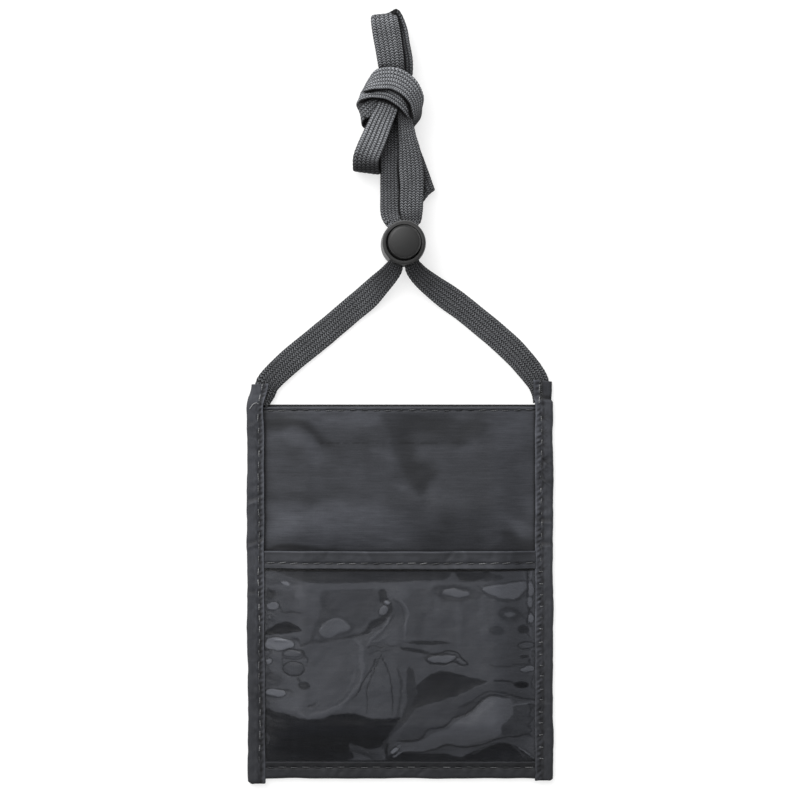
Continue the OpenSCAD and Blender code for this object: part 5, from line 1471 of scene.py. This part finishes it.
def low_bend(d, t, h, f):
    """The bottom band's points."""
    z = h + f * pucker(d, t, 83, LOW_D) + f * 0.09 * cloud(t, d * 2, 8, 87)
    for x0, slant, depth in LOW_CREASES:
        z = z + f * 0.5 * depth * bell(t - x0 - slant * (d - 3), 1.1) * ease((5 - d) / 3)
    dist = d + 0.18 * wobble(t, 89, 22) * ease((3 - d) / 3)
    return np.stack([t, LOW_FOLD + dist, np.maximum(z, 0.02)], 2)


def low_lit(d, t, f):
    """The bottom band's shade in stops."""
    beat = beat_of(t, 83)
    out = (-1.3 + 0.2 * cloud(t, d * 2, 7, 301) + 0.5 * bell(d - 2, 1.5)
           + 0.9 * bell(d - 6.7, 0.28) - 0.8 * bell(d - 6.0, 0.4))
    out = (out - (0.5 + 0.6 * beat) * bell(d - LOW_D, 0.45)
           + 0.35 * bell(d - 3.4, 0.5) * (1 - beat) - 0.6 * ease((0.8 - d) / 0.8))
    return out * f - 0.8 * (1 - f)


low_band = folded("bottom_band_tape", LOW_W, np.linspace(-BAND_X, BAND_X, 273), low_bend, band_mat,
                  low_lit)
low_band.data.flip_normals()
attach(low_band, "pouch")
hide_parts("bottom_band")


def mouth_band():
    """The band folded over the film's top edge: a rounded lower fold, a stitch row, a free lip."""
    xs = np.linspace(-BAND_X, BAND_X, 301)
    w = BAND_W
    # the section: distance from the lip, height, and share of the front's shape
    section = [(0.0, 0.30, 1), (0.10, 0.46, 1)]
    section += [(d, 0.5, 1) for d in np.linspace(0.3, w - 0.55, 30)]
    section += [(w - 0.55 + 0.55 * math.sin(a), -0.1 + 0.6 * math.cos(a), 0.5)
                for a in np.linspace(0.3, math.pi - 0.3, 8)]
    section += [(d, -0.7, 0) for d in np.linspace(w - 0.6, 0.2, 14)]
    section += [(0.0, -0.5, 0), (0.1, -0.3, 0)]
    section += [(d, -0.25, 0) for d in np.linspace(0.5, w - 1.0, 6)]
    section += [(d, 0.12, 1) for d in np.linspace(w - 1.0, 0.5, 6)]
    s = np.array(section)
    x, d = np.meshgrid(xs, s[:, 0], indexing="ij")
    h, f = np.broadcast_to(s[:, 1], x.shape), np.broadcast_to(s[:, 2], x.shape)
    base = film_puff(x, np.full_like(x, MOUTH_Y - 4)) + 0.25
    beat = beat_of(x, 103)
    z = base + h + f * (-(0.22 + 0.12 * beat) * bell(d - MOUTH_D, 0.55)
                        + 0.12 * (beat - 0.5) * bell(d - 0.8, 0.7)
                        + 0.1 * (0.5 - beat) * bell(d - 3.6, 0.9)
                        + 0.12 * wobble(x, 105, 7) * bell(d - 4.6, 1.6))
    lit = (-0.06 + 0.16 * cloud(x, d * 2, 7, 311) + bell(d - (w - 0.25), 0.28)
           - 0.3 * bell(d - (w - 1.2), 0.5))
    lit = (lit - (0.7 + 0.6 * beat) * bell(d - MOUTH_D, 0.42)
           + 0.35 * (1 - beat) * bell(d - 1.2, 0.4) + 0.3 * bell(d - 0.35, 0.25))
    lit = (lit - 0.7 * bell(d, 0.15) + 0.2 * noise2(x, d, 2.2, 313) * bell(d - 3.2, 1.4)
           - 1.5 * (h < -0.2))
    for x0, slant, depth in BAND_CREASES:
        u = x - x0 - slant * (d - 4)
        hold = ease((d - 2.6) / 1.5)
        z = z + f * 0.45 * depth * bell(u, 1.3) * hold
        lit = lit + ((0.2 * bell(u - 0.8, 1.2) - 0.3 * bell(u + 0.5, 1.4))
                     * (1 if depth < 0 else -1) * hold)
    # the lip lifts a little off the film, less at the ends
    z = z + 0.35 * ease((1.6 - d) / 1.6) * ease((52 - np.abs(x)) / 20)
    y = (MOUTH_Y - w + d + 0.14 * wobble(x, 107, 30)
         + 0.35 * ease((x + 54) / 108) * ease((2 - d) / 2) * -0.4)
    ob = piece("window_mouth_tape", np.stack([x, y, z], 2).reshape(-1, 3),
               tube_faces(len(xs), len(s)), band_mat, values={"lit": lit})
    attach(ob, "pouch")
    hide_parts("window_mouth_band")
    return ob


mouth_tape = mouth_band()


# ---------------------------------------------------------------- stitches

def thread_tube(mid, radius, around):
    """Rings of points round a middle line, with one radius for each or for all."""
    along = unit(np.gradient(mid, axis=0))
    across = unit(np.cross(along, [0, 0, 1.0]))
    up = np.cross(across, along)
    a = np.arange(around) * 2 * math.pi / around
    size = np.broadcast_to(radius, len(mid))[:, None, None]
    return mid[:, None] + size * (np.cos(a)[None, :, None] * across[:, None]
                                  + np.sin(a)[None, :, None] * up[:, None])


def stitches(name, marks, replaced, radius, seed):
    """Rows of thread: each stitch is a short bowed tube whose ends dive into the cloth.
    A mark is (middle, direction in the plane, length, height at a place, shade)."""
    r = np.random.RandomState(seed)
    rings, around = 9, 8
    pts, faces, uvs, shades = [], [], [], []
    for (mx, my), (dx, dy), length, high, shade in marks:
        k = math.hypot(dx, dy)
        dx, dy = dx / k, dy / k
        turn = math.radians(r.uniform(-4, 4))
        dx, dy = (dx * math.cos(turn) - dy * math.sin(turn),
                  dx * math.sin(turn) + dy * math.cos(turn))
        long = length * r.uniform(0.92, 1.06)
        t = np.linspace(-1, 1, rings)
        px, py = mx + dx * t * long / 2, my + dy * t * long / 2
        top = np.array([high(a, b) for a, b in zip(px, py)])
        level = np.maximum(np.linspace(top[0], top[-1], rings), top)
        mid = np.stack([px, py, level + radius * 0.9 - 0.75 * np.abs(t) ** 5], 1)
        faces += tube_faces(rings, around, len(pts) * rings * around)
        pts.append(thread_tube(mid, radius * (1 - 0.25 * np.abs(t) ** 3), around).reshape(-1, 3))
        uu = np.broadcast_to((np.arange(around) / around)[None, :], (rings, around))
        vv = np.broadcast_to(((t + 1) / 2 * long / 0.9)[:, None], (rings, around))
        uvs.append(np.stack([uu, vv], 2).reshape(-1, 2))
        shades.append(np.full(rings * around, np.clip(shade + r.uniform(-0.12, 0.12), 0, 1)))
    ob = piece(name, np.concatenate(pts), faces, thread_mat, uv=np.concatenate(uvs),
               values={"shade": np.concatenate(shades)})
    ob.data.flip_normals()
    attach(ob, "pouch")
    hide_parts(replaced)


def surface_of(ob):
    """Height of a piece at a place, from its mesh."""
    tree = BVHTree.FromObject(ob, bpy.context.evaluated_depsgraph_get())

    def high(x, y):
        hit = tree.ray_cast((x * MM, y * MM, 0.05), (0, 0, -1))[0]
        return 0.0 if hit is None else hit.z / MM
    return high


on_front, on_mouth, on_low = surface_of(front), surface_of(mouth_tape), surface_of(low_band)
on_left, on_right = surface_of(left_tape), surface_of(right_tape)

# Rows across: name, node, height of the row with the size and rate of its sway, slope with its
# sway, length, surface, shade with the size and rate of its change, seed
for name, seam, y, y_sway, slope, slope_sway, length, high, shade, change, seed in (
        ("hem_stitches", "hem_seam", FRONT_TOP - HEM_D, (0.15, 1.3), 0.07, 0.03, 3.5, on_front,
         0.16, (0.1, 0.9), 3),
        ("mouth_stitches", "mouth_band_seam", MOUTH_Y - BAND_W + MOUTH_D, (0.12, 1.7), 0.10, 0, 3.5,
         on_mouth, 0.24, (0.14, 1.1), 5),
        ("bottom_stitches", "bottom_seam", LOW_FOLD + LOW_D, (0.12, 2.3), -0.05, 0, 3.4, on_low,
         0.12, (0.08, 1.9), 7)):
    stitches(name, [((i * PITCH, y + y_sway[0] * math.sin(i * y_sway[1])),
                     (1, slope + slope_sway * math.sin(i * 2.1)), length, high,
                     shade + change[0] * math.sin(i * change[1])) for i in range(-11, 12)],
             seam, 0.2, seed)

chance = np.random.RandomState(77)
downs = [FRONT_TOP - (i + 1) * PITCH for i in range(30)]


def left_mark(i, y):
    x = (-POUCH_X + SEAM_D - 0.35 * float(ease((y - 48) / 20)) + 0.22 * math.sin(i * 0.8)
         + 0.45 * float(ease((10 - y) / 80)))
    return ((x, y + chance.uniform(-0.3, 0.3)), (0.10 * math.sin(i * 2.1), 1),
            chance.uniform(2.6, 3.9), on_left, chance.uniform(0.12, 0.62) - 0.08 * (y < -20))


def right_mark(i, y):
    """Upright stitches beside the upper panel, short level ones beside the window."""
    place = (POUCH_X - SEAM_D + 0.2 * math.sin(i * 0.9), y + chance.uniform(-0.4, 0.4))
    if y > 4:
        return (place, (0.2 * math.sin(i), 1), chance.uniform(1.2, 2.6), on_right,
                chance.uniform(0.05, 0.48))
    return (place, (1, 0.15 * math.sin(i * 1.7)), chance.uniform(1.3, 1.9), on_right,
            chance.uniform(0.2, 0.42))


stitches("left_stitches", [left_mark(i, y) for i, y in enumerate(downs)], "left_binding_seam",
         0.19, 9)
stitches("right_stitches", [right_mark(i, y) for i, y in enumerate(downs)], "right_binding_seam",
         0.18, 13)
stitches("left_tab_stitches", [((-55.2, 77.4), (0.16, 1), 3.2, on_left, 0.6),
                               ((-56.1, 73.2), (0.2, 1), 3.3, on_left, 0.8)],
         "left_strap_tack", 0.23, 15)
stitches("right_tab_stitches", [((55.8, 76.8), (0.03, 1), 3.6, on_right, 0.5),
                                ((55.7, 72.4), (0.0, 1), 3.0, on_right, 0.6)],
         "right_strap_tack", 0.23, 17)


def thread_end():
    """A loose end of thread that lies on the left tape."""
    radius, around = 0.16, 6
    route = curve([(-56.6, 70.6, 0), (-57.4, 71.0, 0.3), (-58.6, 70.6, 0.4), (-59.6, 69.4, 0.1),
                   (-60.1, 68.6, 0)], 8)
    mid = np.array([[x, y, on_left(x, y) + radius + h] for x, y, h in route])
    n = len(mid)
    uv = np.stack([np.broadcast_to(np.arange(around) / around, (n, around)),
                   np.broadcast_to(np.arange(n)[:, None] * 0.3, (n, around))], 2)
    ob = piece("thread_end_left", thread_tube(mid, radius, around).reshape(-1, 3),
               tube_faces(n, around), thread_mat, uv=uv.reshape(-1, 2),
               values={"shade": np.full(n * around, 0.95)})
    ob.data.flip_normals()
    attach(ob, "pouch")


thread_end()


# ---------------------------------------------------------------- floor, light, world

def by_camera(nt, others, camera, out):
    """Ends a tree in one shader for the camera's own rays and another for the rest."""
    seen = node(nt, "ShaderNodeLightPath").outputs["Is Camera Ray"]
    both = node(nt, "ShaderNodeMixShader", {0: seen, 1: others, 2: camera})
    node(nt, out, {0: both.outputs[0]})


floor_mat, nt = material("pale_floor")
bounce = node(nt, "ShaderNodeBsdfDiffuse", {"Color": (0.92, 0.92, 0.92, 1)})
# the camera sees a floor that is nearly white, with the object's shadow soft on it
faint = node(nt, "ShaderNodeBsdfDiffuse", {"Color": (0.44, 0.44, 0.44, 1)})
glow = node(nt, "ShaderNodeEmission", {"Color": WHITE, "Strength": 0.63})
lifted = node(nt, "ShaderNodeAddShader", {0: faint.outputs[0], 1: glow.outputs[0]})
by_camera(nt, bounce.outputs[0], lifted.outputs[0], "ShaderNodeOutputMaterial")
FLOOR_HALF, FLOOR_Z = 3000, -0.02
floor = piece("floor", [[x * FLOOR_HALF, y * FLOOR_HALF, FLOOR_Z]
                        for x, y in ((-1, -1), (1, -1), (1, 1), (-1, 1))],
              [[0, 1, 2, 3]], floor_mat, smooth=False)
floor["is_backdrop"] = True

# one large soft lamp from behind the pouch's top left
key = bpy.data.lights.new("key", "AREA")
key.shape = "RECTANGLE"
key.size = key.size_y = 1.0
key.energy = 9
lamp = link("key", key)
lamp.location = (-0.75, 1.15, 0.85)
aim = Vector((0, 0.07, 0)) - Vector(lamp.location)
lamp.rotation_euler = aim.to_track_quat("-Z", "Y").to_euler()

world = bpy.data.worlds.new("studio")
bpy.context.scene.world = world
world.use_nodes = True
nt = world.node_tree
nt.nodes.clear()
# the room is brightest towards the lamp; the camera sees plain white
tc = node(nt, "ShaderNodeTexCoord")
away = node(nt, "ShaderNodeVectorMath", {0: tc.outputs["Generated"], 1: (-0.42, 0.62, 0.66)},
            operation="DOT_PRODUCT").outputs["Value"]
dome = madd(power(calc("MAXIMUM", away, 0.0), 4.0), 2.3, 0.5)
room = node(nt, "ShaderNodeBackground", {"Color": WHITE, "Strength": dome})
white = node(nt, "ShaderNodeBackground", {"Color": WHITE, "Strength": 1.0})
by_camera(nt, room.outputs[0], white.outputs[0], "ShaderNodeOutputWorld")

bpy.context.scene.view_settings.view_transform = "Standard"

bpy.context.view_layer.update()
made_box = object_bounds()
as_list = lambda b: [[float(c) for c in corner] for corner in b]
{"cad": as_list(cad_box), "visual": as_list(made_box)}
